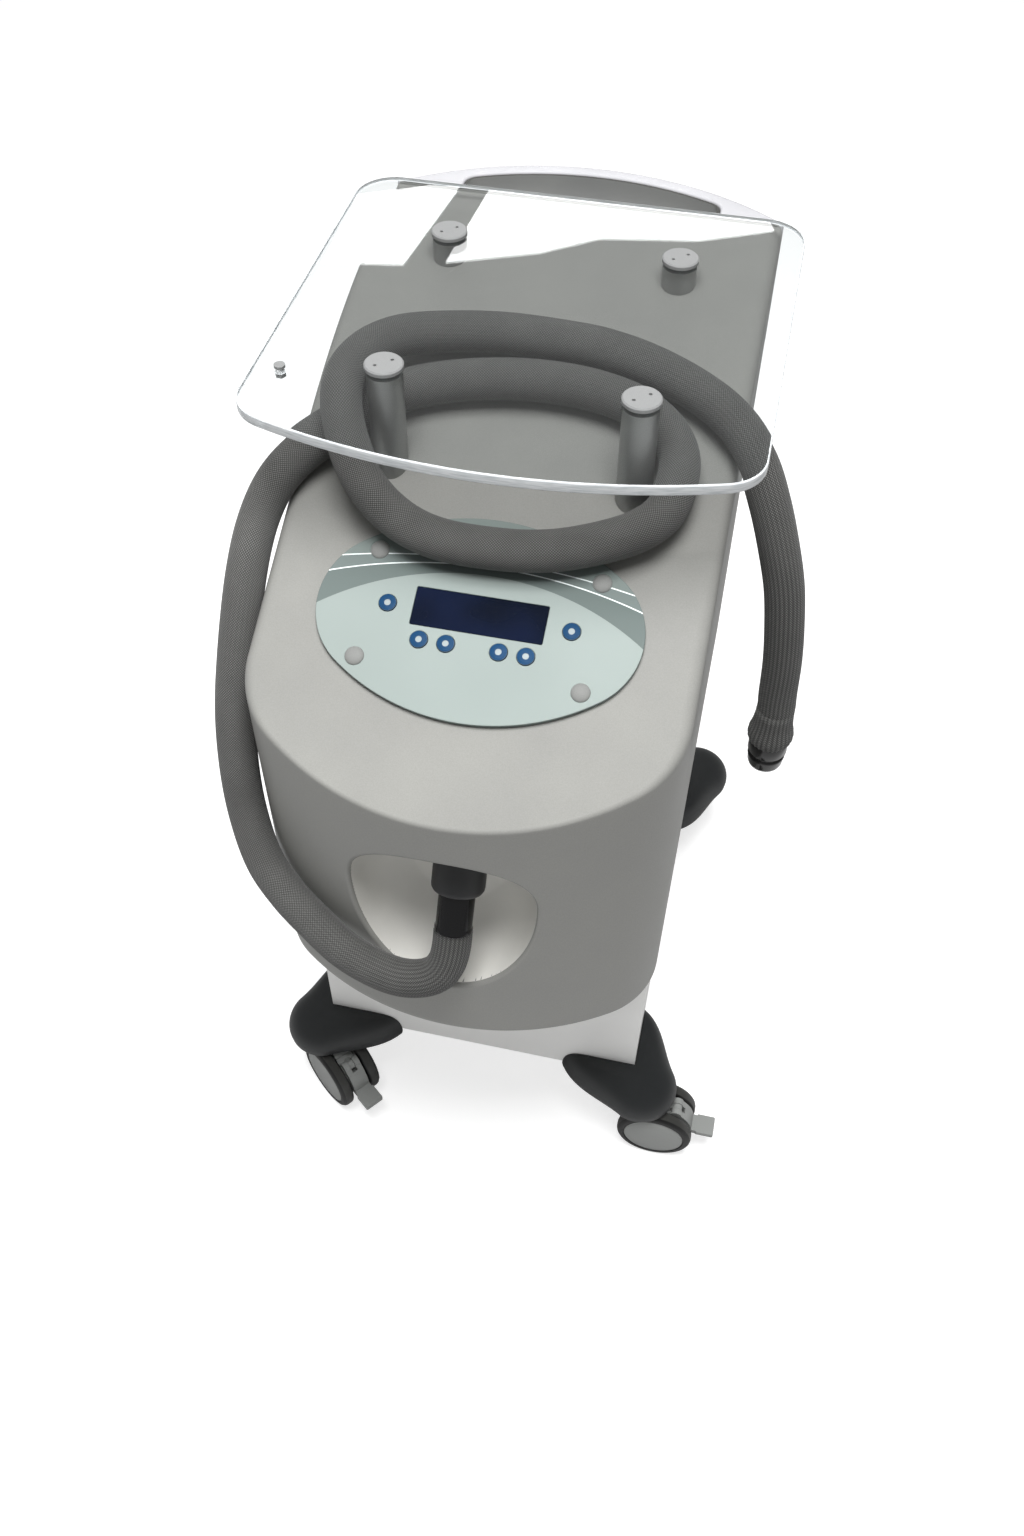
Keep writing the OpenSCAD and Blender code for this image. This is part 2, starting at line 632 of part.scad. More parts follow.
// Ring of points at level t; grown inwards by i for the hollow
function bumper_ring(t, i) = let(
    f = cos(84 * t), c = bumper_off * (0.55 + 0.45 * f), r = max((bumper_r - i) * pow(f, 0.8), 1.5),
    l = (bumper_wing - 2.2 * i) * pow(max(f, 0.02), 0.22) - 2, z = bumper_low
      + (t < 0.001 ? 0 : 6 - i * 0.2) + (bumper_h - 6 - i) * sin(90 * t) - (t < 0.001 && i > 0 ? 2 : 0),
    to_tip = atan2(c, l + c), b = acos(r / sqrt(pow(l + c, 2) + c * c)),
    a0 = to_tip - 180 + b, a9 = 90 + to_tip - b)
  [[-l, 0, z], for (k = [0:arc_steps]) let(a = a0 + (a9 - a0) * k / arc_steps)
    [c + r * cos(a), -c + r * sin(a), z], [0, l, z], [-14, 14, z]];
module bumper_loft(i) {
  n = arc_steps + 4;
  m = bumper_rings;
  levels = [0, for (j = [0:m]) max(j / m, 0.002)];
  pts = [for (t = levels) each bumper_ring(t, i)];
  q = len(levels);
  faces = [
    for (j = [0:q - 2], k = [0:n - 1]) let(a = j * n + k, b = j * n + (k + 1) % n) each
      [[a, b + n, b], [a, a + n, b + n]],
    for (k = [0:n - 3]) [n - 1, k, k + 1],
    for (k = [0:n - 3]) [q * n - 1, (q - 1) * n + k + 1, (q - 1) * n + k]];
  polyhedron(pts, faces);
}
module bumper() difference() {
  union() {
    difference() {
      bumper_loft(0);
      bumper_loft(bumper_t);
    }
    intersection() {
      bumper_loft(1);
      translate([caster_out_x + 4, -caster_out_y - 4, chassis_z + seat_gap])
        cylinder(d = 9, h = 60, $fn = 32);
    }
  }
  translate([-200, -move_gap, 0]) cube([200 + move_gap, 200, 200]);
}
module at_corner(sx, k) color(black) from_front() translate([sx * half_w, k * chassis_d, 0])
  mirror([sx < 0 ? 1 : 0, 0, 0]) mirror([0, k, 0]) bumper();
module bumper_fl() at_corner(-1, 0);
module bumper_fr() at_corner(1, 0);
module bumper_rl() at_corner(-1, 1);
module bumper_rr() at_corner(1, 1);

// ---------- Casters, drawn with the swivel axis at the origin and the axle at +X ----------
axle_z = wheel_d / 2;
web_w = wheel_w - 2 * tyre_w - 2;
web_r = 29;
pivot_a = 56;
pivot = [trail + 33 * cos(pivot_a), axle_z + 33 * sin(pivot_a)];
pin_d = 4;
boss_r = 5.5;
module upright(w) rotate([90, 0, 0]) translate([0, 0, -w / 2]) linear_extrude(w) children();
module caster_body() color(mid_grey) difference() {
  union() {
    upright(web_w) difference() {
      union() {
        translate([trail, axle_z]) circle(web_r, $fn = 96);
        polygon([[-web_w / 2, 44], [-web_w / 2, thrust_z + 1], [web_w / 2 + 4, thrust_z + 1],
          [pivot[0] - 12, 68], [trail, 50], [8, 30]]);
      }
      translate(pivot) circle(boss_r + move_gap, $fn = 48);
    }
    upright(5) {
      translate(pivot) circle(5, $fn = 48);
      polygon([[trail, axle_z + 20], [pivot[0] - 4, pivot[1] + 3], [pivot[0] + 4, pivot[1] - 3],
        [trail + 20, axle_z + 8]]);
    }
    translate([0, 0, thrust_z]) cylinder(d = 30, h = chassis_z - bracket_t - thrust_z - seat_gap, $fn = 64);
  }
  translate([0, 0, stem_low - 0.5]) cylinder(d = stem_d + 2 * run_gap, h = 60, $fn = 64);
  upright(web_w + 2) {
    translate([trail, axle_z]) circle(d = axle_d + 2 * run_gap, $fn = 64);
    translate(pivot) circle(d = pin_d + 2 * run_gap, $fn = 48);
  }
}
module caster_hubs() color(mid_grey) {
  r = wheel_d / 2 - tyre_t;
  for (s = [-1, 1]) translate([trail, 0, axle_z]) rotate([s * 90, 0, 0]) difference() {
    translate([0, 0, wheel_w / 2 - tyre_w]) cylinder(r = r, h = tyre_w, $fn = 96);
    translate([0, 0, wheel_w / 2 - 1]) difference() {
      cylinder(r = r - 2, h = 2, $fn = 96);
      cylinder(r1 = r - 3.5, r2 = r - 4.5, h = 0.8, $fn = 96);
    }
  }
  translate([trail, 0, axle_z]) rotate([90, 0, 0])
    translate([0, 0, -wheel_w / 2 + 4]) cylinder(d = axle_d, h = wheel_w - 8, $fn = 64);
}
module caster_tyres() color(black) {
  r = wheel_d / 2;
  for (s = [-1, 1]) translate([trail, 0, axle_z]) rotate([s * 90, 0, 0])
    translate([0, 0, wheel_w / 2 - tyre_w + 0.4]) rotate_extrude($fn = 96)
      polygon([[r - tyre_t, 0], [r - 2, 0], [r, 2], [r, tyre_w - 2.8], [r - 2, tyre_w - 0.8],
        [r - tyre_t, tyre_w - 0.8]]);
}
module caster_pedal() color(mid_grey) {
  w = web_w - 0.6;
  difference() {
    union() {
      upright(w) difference() {
        union() {
          translate(pivot) circle(boss_r, $fn = 48);
          intersection() {
            translate([trail, axle_z]) circle(36.5, $fn = 96);
            translate([trail, axle_z]) polygon([[0, 0], 60 * [cos(-4), sin(-4)], 60 * [cos(24), sin(24)],
              60 * [cos(pivot_a), sin(pivot_a)]]);
          }
        }
        translate([trail, axle_z]) circle(web_r + 1, $fn = 96);
      }
      translate([trail + 34, -w / 2, axle_z - 2]) cube([10, w, 6]);
      hull() for (p = [[trail + 42, 1], [trail + 57, 1]], s = [-1, 1])
        translate([p[0], s * 8.5, axle_z - 1]) cylinder(d = 3, h = 5, $fn = 32);
    }
    upright(5.8) translate(pivot) circle(9, $fn = 48);
    upright(5.8) polygon([[trail, axle_z + 20], [pivot[0] - 9, pivot[1] + 8], [pivot[0] + 8, pivot[1] - 6],
        [trail + 30, axle_z + 8]]);
  }
  translate([pivot[0], 0, pivot[1]]) rotate([90, 0, 0]) translate([0, 0, -w / 2])
    cylinder(d = pin_d, h = w, $fn = 48);
}
fl_turn = -38;
fr_turn = 0;
rl_turn = 180;
rr_turn = 180;
module at_swivel(sx, k, turn) from_front()
  translate([sx * swivel_x, swivel_ys[k], 0]) rotate([0, 0, turn]) children();
module caster_fl_body() at_swivel(-1, 0, fl_turn) caster_body();
module caster_fl_hubs() at_swivel(-1, 0, fl_turn) caster_hubs();
module caster_fl_tyres() at_swivel(-1, 0, fl_turn) caster_tyres();
module caster_fl_pedal() at_swivel(-1, 0, fl_turn) caster_pedal();
module caster_fr_body() at_swivel(1, 0, fr_turn) caster_body();
module caster_fr_hubs() at_swivel(1, 0, fr_turn) caster_hubs();
module caster_fr_tyres() at_swivel(1, 0, fr_turn) caster_tyres();
module caster_fr_pedal() at_swivel(1, 0, fr_turn) caster_pedal();
module caster_rl_body() at_swivel(-1, 1, rl_turn) caster_body();
module caster_rl_hubs() at_swivel(-1, 1, rl_turn) caster_hubs();
module caster_rl_tyres() at_swivel(-1, 1, rl_turn) caster_tyres();
module caster_rl_pedal() at_swivel(-1, 1, rl_turn) caster_pedal();
module caster_rr_body() at_swivel(1, 1, rr_turn) caster_body();
module caster_rr_hubs() at_swivel(1, 1, rr_turn) caster_hubs();
module caster_rr_tyres() at_swivel(1, 1, rr_turn) caster_tyres();
module caster_rr_pedal() at_swivel(1, 1, rr_turn) caster_pedal();

// ---------- Cooling circuit ----------
floor_z = chassis_z + sheet_t + 1;
comp_at = [-70, 110];
comp_d = 130;
comp_h = 165;
module compressor() color(black) from_front() translate([comp_at[0], comp_at[1], floor_z + seat_gap]) {
  translate([0, 0, 12]) cylinder(d = comp_d, h = comp_h - 30, $fn = 96);
  translate([0, 0, comp_h - 18]) intersection() {
    cylinder(d = comp_d, h = 40, $fn = 96);
    translate([0, 0, -90]) sphere(d = 2 * sqrt(pow(comp_d / 2, 2) + 8100), $fn = 120);
  }
  for (a = [45:90:315]) rotate(a) translate([comp_d / 2 - 6, -9, 8]) cube([18, 18, 4.5]);
  for (a = [45:90:315]) rotate(a) translate([comp_d / 2 + 4, 0, 0]) cylinder(d = 14, h = 9, $fn = 32);
}

cond_y = chassis_d - 105;
cond_w = 236;
cond_h = 210;
cond_t = 34;
module condenser() color(steel) from_front() translate([-cond_w / 2, cond_y, floor_z + seat_gap]) {
  for (x = [0, cond_w - 2]) translate([x, 0, 0]) cube([2, cond_t, cond_h]);
  for (k = [1:19]) translate([k * cond_w / 20, 4, 6]) cube([1.2, cond_t - 8, cond_h - 12]);
  for (z = [20:28:cond_h - 10]) translate([0, cond_t / 2, z]) rotate([0, 90, 0])
    cylinder(d = 9, h = cond_w, $fn = 32);
}

fan_y = chassis_d - 42;
module on_fan() translate([fan_at[0], fan_y, fan_at[1]]) rotate([90, 0, 0]) children();
module condenser_fan() color(dark_grey) from_front() on_fan() difference() {
  union() {
    cylinder(d = 52, h = 22, center = true, $fn = 64);
    for (k = [0:6]) rotate(360 * k / 7) translate([22, 0, 0]) rotate([32, 0, 0])
      translate([0, -20, -1]) cube([fan_d / 2 - 28, 40, 2]);
  }
  translate([0, 0, -30]) cylinder(d = 8 + 2 * run_gap, h = 60, $fn = 48);
}
module fan_motor() color(mid_grey) from_front() on_fan() {
  translate([0, 0, -16]) cylinder(d = 8, h = 31, $fn = 48);
  translate([0, 0, -(chassis_d - fan_y) + sheet_t + seat_gap]) {
    cylinder(d = 48, h = chassis_d - fan_y - 14 - sheet_t - seat_gap, $fn = 64);
    for (a = [0:90:270]) rotate(a) translate([20, -5, 0]) cube([fan_d / 2 - 8, 10, 4]);
  }
}

evap_w = 150;
evap_d = 150;
evap_h = 86;
evap_y = 36;
blower_w = 64;
module evaporator() color([0.7, 0.72, 0.72]) from_front()
  translate([outlet_x - evap_w / 2, evap_y, shelf_z + sheet_t + seat_gap]) difference() {
    cube([evap_w, evap_d, evap_h]);
    translate([3, 3, 3]) cube([evap_w - 6, evap_d - 6, evap_h - 6]);
    translate([evap_w / 2, evap_d / 2, evap_h - 5]) cylinder(d = 50, h = 10, $fn = 64);
    for (k = [0:9]) translate([8 + 14 * k, evap_d - 5, 12]) cube([8, 10, evap_h - 24]);
  }

blower_r = 70;
blower_c = [110, shelf_z + sheet_t + evap_h + 2 * seat_gap + blower_r];
module scroll(i) {
  translate([blower_c[0], blower_c[1]]) circle(blower_r - i, $fn = 120);
  translate([duct_back + seat_gap - (i > 0 ? 2 : 0), duct_low + i])
    square([blower_c[0] - duct_back, min(duct_high, blower_c[1] + blower_r) - duct_low - 2 * i]);
}
module blower_housing() color(mid_grey) from_front() difference() {
  union() {
    translate([outlet_x - blower_w / 2, 0, 0]) rotate([90, 0, 90]) linear_extrude(blower_w) scroll(0);
    for (s = [-1, 1]) translate([outlet_x + s * 24 - 5, blower_c[0] - 40,
      shelf_z + sheet_t + evap_h + 2 * seat_gap]) cube([10, 80, 14]);
    translate([outlet_x + blower_w / 2 - 0.01, blower_c[0], blower_c[1]]) rotate([0, 90, 0])
      cylinder(d = 60, h = 40, $fn = 64);
  }
  translate([outlet_x - blower_w / 2 + duct_t, 0, 0]) rotate([90, 0, 90])
    linear_extrude(blower_w - 2 * duct_t) scroll(duct_t);
  translate([outlet_x - blower_w / 2 - 1, blower_c[0], blower_c[1]]) rotate([0, 90, 0])
    cylinder(d = 60, h = 10, $fn = 64);
  translate([outlet_x, blower_c[0], blower_c[1]]) rotate([0, 90, 0])
    cylinder(d = 8 + 2 * run_gap, h = blower_w / 2 + 20, $fn = 48);
}
module blower_wheel() color(dark_grey) from_front()
  translate([outlet_x - 22, blower_c[0], blower_c[1]]) rotate([0, 90, 0]) {
    translate([0, 0, 42]) cylinder(r = 54, h = 3, $fn = 96);
    difference() {
      cylinder(r = 54, h = 3, $fn = 96);
      translate([0, 0, -1]) cylinder(r = 42, h = 5, $fn = 96);
    }
    for (k = [0:23]) rotate(15 * k) translate([43, -1, 1]) rotate(20) cube([10.5, 1.6, 42]);
    translate([0, 0, 30]) cylinder(d = 20, h = 14, $fn = 48);
    translate([0, 0, 36]) cylinder(d = 8, h = 34, $fn = 48);
  }

psu_at = [48, 60];
psu_w = 90;
psu_d = 150;
psu_h = 60;
psu_slots = 8;
module power_supply() color([0.66, 0.67, 0.68]) from_front()
  translate([psu_at[0], psu_at[1], floor_z + seat_gap]) difference() {
    cube([psu_w, psu_d, psu_h]);
    for (k = [0:psu_slots - 1]) translate([(k + 1) * psu_w / (psu_slots + 1) - 2, 20, psu_h - 5])
      cube([4, psu_d - 40, 10]);
  }

line_x = -cond_w / 2 - 2;
line_y = 245;
pipe_d = 8;
pipe_bend = 14;
// Corner k of a path as a short round bend of radius r
function bent(p, r) = [p[0], for (k = [1:len(p) - 2]) let(a = p[k] + r * unit(p[k - 1] - p[k]),
    b = p[k] + r * unit(p[k + 1] - p[k])) each
    [for (t = [0:0.25:1]) (1 - t) * (1 - t) * a + 2 * t * (1 - t) * p[k] + t * t * b], p[len(p) - 1]];
module refrigerant_lines() color(copper) from_front() {
  top = floor_z + seat_gap + comp_h + 3.2;
  evap_x = outlet_x - evap_w / 2;
  z = shelf_z + 40;
  tube(bent([[comp_at[0] - 20, comp_at[1] - 20, top], [comp_at[0] - 20, comp_at[1] - 20, top + 26],
    [line_x, line_y, top + 26], [line_x, line_y, z], [evap_x - 24, line_y, z],
    [evap_x - 24, evap_y + 90, z], [evap_x - seat_gap, evap_y + 90, z]], pipe_bend), pipe_d / 2, 8);
  tube(bent([[line_x + 30, cond_y - seat_gap, floor_z + cond_h - 20],
    [line_x + 30, line_y + 20, floor_z + cond_h - 20], [line_x + 30, line_y + 20, z + 20],
    [line_x + 30, evap_y + evap_d - 30, z + 20], [evap_x - seat_gap, evap_y + evap_d - 30, z + 20]],
    pipe_bend), pipe_d / 2, 8);
}

// ---------- Mains inlet ----------
rocker_r = 9.5;
rocker_w = 14;
pin_r = 1.5;
module mains_inlet() color(black) from_front()
  translate([inlet_at[0], chassis_d, inlet_at[1]]) difference() {
    union() {
      translate([-inlet_w / 2 - 6, seat_gap, -inlet_h / 2 - 6])
        cube([inlet_w + 6 + rocker_x - inlet_w / 2 + rocker_w / 2 + 6, 2.5, inlet_h + 12]);
      translate([-inlet_w / 2, -18, -inlet_h / 2]) cube([inlet_w, 19, inlet_h]);
      translate([rocker_x - rocker_w / 2 - 2.5, -18, -12]) cube([rocker_w + 5, 19, 24]);
    }
    difference() {
      translate([-inlet_w / 2 + 1.5, -15, -inlet_h / 2 + 1.5]) cube([inlet_w - 3, 30, inlet_h - 3]);
      for (p = [[-7, 2], [0, -3], [7, 2]]) translate([p[0] - 1, -16, p[1] - 2]) cube([2, 10, 4]);
    }
    translate([rocker_x - rocker_w / 2 - move_gap, -14, -rocker_r - 0.7])
      cube([rocker_w + 2 * move_gap, 30, 2 * rocker_r + 1.4]);
    translate([rocker_x - rocker_w / 2 - 2, -3, 0]) rotate([0, 90, 0])
      cylinder(r = pin_r + run_gap, h = rocker_w + 4, $fn = 32);
  }

module power_rocker() color(black) from_front()
  translate([inlet_at[0] + rocker_x, chassis_d - 3, inlet_at[1]]) rotate([0, 90, 0]) {
    translate([0, 0, -rocker_w / 2]) linear_extrude(rocker_w) intersection() {
      circle(rocker_r, $fn = 64);
      polygon([[-9.2, -5], [9.2, -5], [9.2, 4], [0, 5.5], [-9.2, 8]]);
    }
    translate([0, 0, -rocker_w / 2 - 1.5]) cylinder(r = pin_r, h = rocker_w + 3, $fn = 32);
  }

// ---------- Hose: the loops it lies in, from the outlet to its free end ----------
route = [
  [8, -286, 460], [8, -293.5, 447], [6, -300, 436], [0, -306, 427], [-12, -310, 421], [-30, -311, 418],
  [-52, -308, 420], [-77, -301, 426], [-102, -289, 435], [-128, -275, 447], [-151, -259, 466],
  [-167, -239, 499], [-174, -222, 542], [-177, -201, 585], [-177, -169, 633], [-177, -138, 665],
  [-176, -109, 683], [-167, -89, 702], [-152, -71, 716], [-133, -53, 725], [-112, -35, 732],
  [-88, -19, 739], [-56, -8, 744], [-20, -1, 747], [16, 2, 748], [51, 0, 747], [82, -8, 744],
  [104, -22, 739], [117, -39, 732], [120, -59, 724], [115, -79, 715], [100, -95, 709], [75, -108, 704],
  [42, -118, 699], [7, -122, 697], [-36, -122, 698], [-68, -115, 705], [-95, -101, 720], [-112, -83, 741],
  [-121, -61, 758], [-123, -35, 762], [-116, -7, 762], [-99, 17, 760], [-70, 32, 758], [-28, 37, 760],
  [17, 37, 760], [53, 34, 759], [90, 24, 756], [127, 8, 750], [154, -11, 743], [173, -30, 730],
  [186, -44, 709], [197, -54, 682], [207, -62, 650], [213, -67, 616], [217, -69, 582], [219, -70, 546],
  [220, -71, 534], [220, -71, 522], [220, -71, 510]];
hose_sides = 10;
// Centre line: one extra point between each two of the route, on a smooth curve
last = len(route) - 1;
function smooth(i) = let(k = floor(i), t = i - k, a = route[max(k - 1, 0)], b = route[k],
    c = route[min(k + 1, last)], d = route[min(k + 2, last)])
  0.5 * (2 * b + (c - a) * t + (2 * a - 5 * b + 4 * c - d) * t * t + (3 * b - a - 3 * c + d) * t * t * t);
steps = [for (i = [0:last - 1]) each (i < 2 || i > last - 4 ? [i] : (i % 3 == 0 ? [i, i + 0.5] : [i])), last];
line = [for (i = steps) smooth(i)];
module hose() color([0.32, 0.32, 0.32]) tube(line, hose_d / 2, hose_sides);
fine = [for (i = [0:0.25:last]) smooth(i)];
function hose_length() = let(d = [for (k = [0:len(fine) - 2]) norm(fine[k + 1] - fine[k])])
  d * [for (x = d) 1];
apart = 17;
function self_gap() = min([for (a = [0:len(fine) - apart - 1]) for (b = [a + apart:len(fine) - 1])
  norm(fine[a] - fine[b])]) - hose_d;

// End pieces of the hose, round their own axes
module hose_cuff() color(black) translate(route[0]) rotate([-outlet_tilt, 0, 0]) difference() {
  union() {
    cylinder(d = cuff_d, h = cuff_out + cuff_in, $fn = 96);
    cylinder(d = cuff_d + 1.6, h = 4, $fn = 96);
  }
  translate([0, 0, 2]) cylinder(d = air_bore, h = cuff_out + cuff_in, $fn = 64);
}
end_len = 44;
module hose_end() color(black) translate(route[last]) rotate([180, 0, 0]) difference() {
  rotate_extrude($fn = 96) polygon([[0, 0], [hose_d / 2, 0], [flare_d / 2 - 1.5, 4], [flare_d / 2, 9],
    [flare_d / 2 - 2, 14], [cuff_d / 2 + 2, 15], [cuff_d / 2 + 2, 27], [cuff_d / 2, 28],
    [cuff_d / 2, 31], [cuff_d / 2 + 2, 32], [cuff_d / 2 + 2, 36], [cuff_d / 2 - 1, end_len - 2],
    [cuff_d / 2 - 3, end_len], [0, end_len]]);
  translate([0, 0, 6]) cylinder(d = air_bore, h = end_len, $fn = 64);
}

base_frame();
front_panel();
side_panels();
rear_panel();
inner_shelf();
hood();
bay_liner();
hose_socket();
air_duct();
control_plate();
display_window();
plate_screws();
control_board();
button_power();
button_start();
key_1();
key_2();
key_3();
key_4();
front_posts();
rear_posts();
post_caps();
tray();
tray_stud();
handle_frame();
handle_grip();
bumper_fl();
bumper_fr();
bumper_rl();
bumper_rr();
caster_fl_body();
caster_fl_hubs();
caster_fl_tyres();
caster_fl_pedal();
caster_fr_body();
caster_fr_hubs();
caster_fr_tyres();
caster_fr_pedal();
caster_rl_body();
caster_rl_hubs();
caster_rl_tyres();
caster_rl_pedal();
caster_rr_body();
caster_rr_hubs();
caster_rr_tyres();
caster_rr_pedal();
compressor();
condenser();
condenser_fan();
fan_motor();
evaporator();
blower_housing();
blower_wheel();
power_supply();
refrigerant_lines();
mains_inlet();
power_rocker();
hose();
hose_cuff();
hose_end();
echo(hose_length = hose_length(), least_gap = self_gap());  // hose
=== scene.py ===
import math

import bmesh
import bpy
from mathutils import Matrix, Vector


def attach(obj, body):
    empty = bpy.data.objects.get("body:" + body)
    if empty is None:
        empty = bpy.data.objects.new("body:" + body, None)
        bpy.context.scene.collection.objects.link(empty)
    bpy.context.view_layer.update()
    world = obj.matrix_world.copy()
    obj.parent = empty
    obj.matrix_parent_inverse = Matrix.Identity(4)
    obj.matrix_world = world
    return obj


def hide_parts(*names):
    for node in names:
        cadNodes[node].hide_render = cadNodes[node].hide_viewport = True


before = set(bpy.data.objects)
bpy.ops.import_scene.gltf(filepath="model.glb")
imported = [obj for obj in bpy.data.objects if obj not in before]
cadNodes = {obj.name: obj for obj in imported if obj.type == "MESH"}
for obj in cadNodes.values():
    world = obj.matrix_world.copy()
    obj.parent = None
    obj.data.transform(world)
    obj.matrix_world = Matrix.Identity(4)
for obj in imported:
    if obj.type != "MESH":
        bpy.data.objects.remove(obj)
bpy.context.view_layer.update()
mm = 0.001
frontY = -181   # the front panel's face, in the cart's frame
chassis = {"cornerX": 155, "deep": 395}
print("stage: frame loaded,", len(cadNodes), "nodes")


def addObject(name, data):
    made = bpy.data.objects.new(name, data)
    bpy.context.scene.collection.objects.link(made)
    return made


# camera, matched to the photo's own edges
camera = {
    "place": (173.2, -653.1 + frontY, 1331.8),
    "right": (0.97580, 0.21864, 0.00350),
    "up": (-0.16979, 0.74752, 0.64218),
    "forward": (-0.13779, 0.62723, -0.76655),
    "lens": 32.05, "sensor": 36, "farthest": 50,
}
cameraData = bpy.data.cameras.new("camera")
cameraData.lens = camera["lens"]
cameraData.sensor_width = camera["sensor"]
cameraData.clip_end = camera["farthest"]
cameraObject = addObject("camera", cameraData)
turn = Matrix((camera["right"], camera["up"], [-v for v in camera["forward"]])).transposed()
cameraObject.matrix_world = Matrix.Translation(Vector(camera["place"]) * mm) @ turn.to_4x4()
bpy.context.scene.camera = cameraObject


def linear(hexColour):
    values = [int(hexColour[i:i + 2], 16) / 255 for i in (1, 3, 5)]
    return [v / 12.92 if v <= 0.04045 else ((v + 0.055) / 1.055) ** 2.4 for v in values] + [1.0]


def setInputs(tree, node, inputs):
    # an input takes a value, a socket, or a node, which stands for its first output
    for key, value in inputs.items():
        if isinstance(value, bpy.types.Node):
            value = value.outputs[0]
        if isinstance(value, bpy.types.NodeSocket):
            tree.links.new(value, node.inputs[key])
        else:
            node.inputs[key].default_value = value


def addNode(tree, kind, inputs=None, stops=(), **settings):
    # stops are a colour ramp's, each a position with a hex colour or a grey value
    node = tree.nodes.new(kind)
    for key, value in settings.items():
        setattr(node, key, value)
    for k, (position, colour) in enumerate(stops):
        if k == len(node.color_ramp.elements):
            node.color_ramp.elements.new(1.0)
        element = node.color_ramp.elements[k]
        element.position = position
        element.color = linear(colour) if isinstance(colour, str) else (colour, colour, colour, 1)
    setInputs(tree, node, inputs or {})
    return node


def newMaterial(name, colour, rough, **sockets):
    material = bpy.data.materials.new(name)
    material.use_nodes = True
    tree = material.node_tree
    shader = tree.nodes["Principled BSDF"]
    given = {key.replace("_", " "): value for key, value in sockets.items()}
    setInputs(tree, shader, {"Base Color": linear(colour), "Roughness": rough, **given})
    place = addNode(tree, "ShaderNodeTexCoord").outputs["Object"]
    return material, tree, shader, place


# sizes of patterns are in mm; a colour Mix node takes its factor at 0 and its colours at 6 and 7
def moulded(name, colours, rough, grain=0.35, depth=0.02, **sockets):
    # an even fine grain, over a tone that drifts slowly between two near colours
    material, tree, shader, place = newMaterial(name, colours[0], rough, **sockets)
    drift = addNode(tree, "ShaderNodeTexNoise", {"Vector": place, "Scale": 1 / (60 * mm), "Detail": 4})
    tone = addNode(tree, "ShaderNodeValToRGB", {"Fac": drift}, [(0.3, colours[0]), (0.7, colours[1])])
    fine = addNode(tree, "ShaderNodeTexNoise", {"Vector": place, "Scale": 1 / (grain * mm), "Detail": 2})
    gloss = addNode(tree, "ShaderNodeMath", {0: fine, 1: 0.12, 2: rough - 0.06}, operation="MULTIPLY_ADD")
    relief = addNode(tree, "ShaderNodeBump", {"Height": fine, "Distance": depth * mm, "Strength": 1.0})
    setInputs(tree, shader, {"Base Color": tone, "Roughness": gloss, "Normal": relief})
    return material


def hoodLacquer():
    # metallic lacquer sprayed on a moulded hood: fine flake, a slightly cloudy tone
    material, tree, shader, place = newMaterial("metallic_lacquer_grey", "#888885", 0.42, Metallic=0.12)
    cloud = addNode(tree, "ShaderNodeTexNoise", {"Vector": place, "Scale": 1 / (70 * mm), "Detail": 5})
    flake = addNode(tree, "ShaderNodeTexNoise", {"Vector": place, "Scale": 1 / (0.9 * mm), "Detail": 2})
    tone = addNode(tree, "ShaderNodeValToRGB", {"Fac": cloud}, [(0.25, "#868683"), (0.8, "#8f8f8b")])
    speck = addNode(tree, "ShaderNodeValToRGB", {"Fac": flake}, [(0.3, 0.9), (0.7, 1.0)])
    gloss = addNode(tree, "ShaderNodeValToRGB", {"Fac": cloud}, [(0.3, 0.42), (0.7, 0.5)])
    mixed = addNode(tree, "ShaderNodeMix", {0: 1.0, 6: tone, 7: speck},
                    data_type="RGBA", blend_type="MULTIPLY")
    relief = addNode(tree, "ShaderNodeBump", {"Height": flake, "Distance": 0.03 * mm, "Strength": 1.0})
    setInputs(tree, shader, {"Base Color": mixed.outputs[2], "Roughness": gloss, "Normal": relief})
    return material


# powder coat: satin white with a faint orange peel
powderWhite = moulded("powder_coat_white", ["#f3f3f1", "#eeeeec"], 0.42, 1.6, 0.06)
hoodGrey = hoodLacquer()
# bay and grip pocket: smooth lacquer without flake; the bay's colour is painted much lighter than the hood,
# as painted light for the light that falls into it from the front
bayPaintedLight = moulded("lacquer_smooth_grey_painted_light", ["#e2e1dc", "#eae9e4"], 0.42, 0.8, 0.01, Metallic=0.25)
pocketGrey = moulded("lacquer_pocket_grey", ["#868786", "#8e8f8d"], 0.4, 0.8, 0.01, Metallic=0.2)
# moulded ABS: a dull fine grain on the socket and the duct, polished to a gloss on the hose's cuffs
socketGrey = moulded("abs_dark_grey", ["#1d1e20", "#232425"], 0.5, 0.5, 0.02)
ductGrey = moulded("abs_duct_grey", ["#7f8080", "#868787"], 0.55, 0.6, 0.02)
cuffBlack = moulded("abs_black_gloss", ["#070708", "#0c0c0d"], 0.16, 0.5, 0.004)
# lip of the grip pocket: painted dark and dull, as painted shade along the pocket's rim
pocketRimShade = moulded("pocket_rim_painted_shade", ["#3c3c3a", "#444442"], 0.6, 0.6, 0.02)
# bumpers: cast polyurethane, near black, with a wide soft highlight
bumperBlack = moulded("polyurethane_black_satin", ["#1b1d1e", "#212324"], 0.5, 0.4, 0.03)
# moulded nylon: satin, with a fine spark-eroded grain
casterGrey = moulded("nylon_light_grey", ["#8b8d8b", "#838583"], 0.42, 0.5, 0.02)
hubGrey = moulded("nylon_hub_grey", ["#858785", "#8d8f8d"], 0.38, 0.5, 0.02)
inletBlack = moulded("nylon_inlet_black", ["#151516", "#1b1b1c"], 0.4, 0.6, 0.02)
# foamed insulation: matt, with open pores
foamGrey = moulded("insulation_foam_grey", ["#a9abaa", "#9fa1a0"], 0.85, 1.5, 0.15)
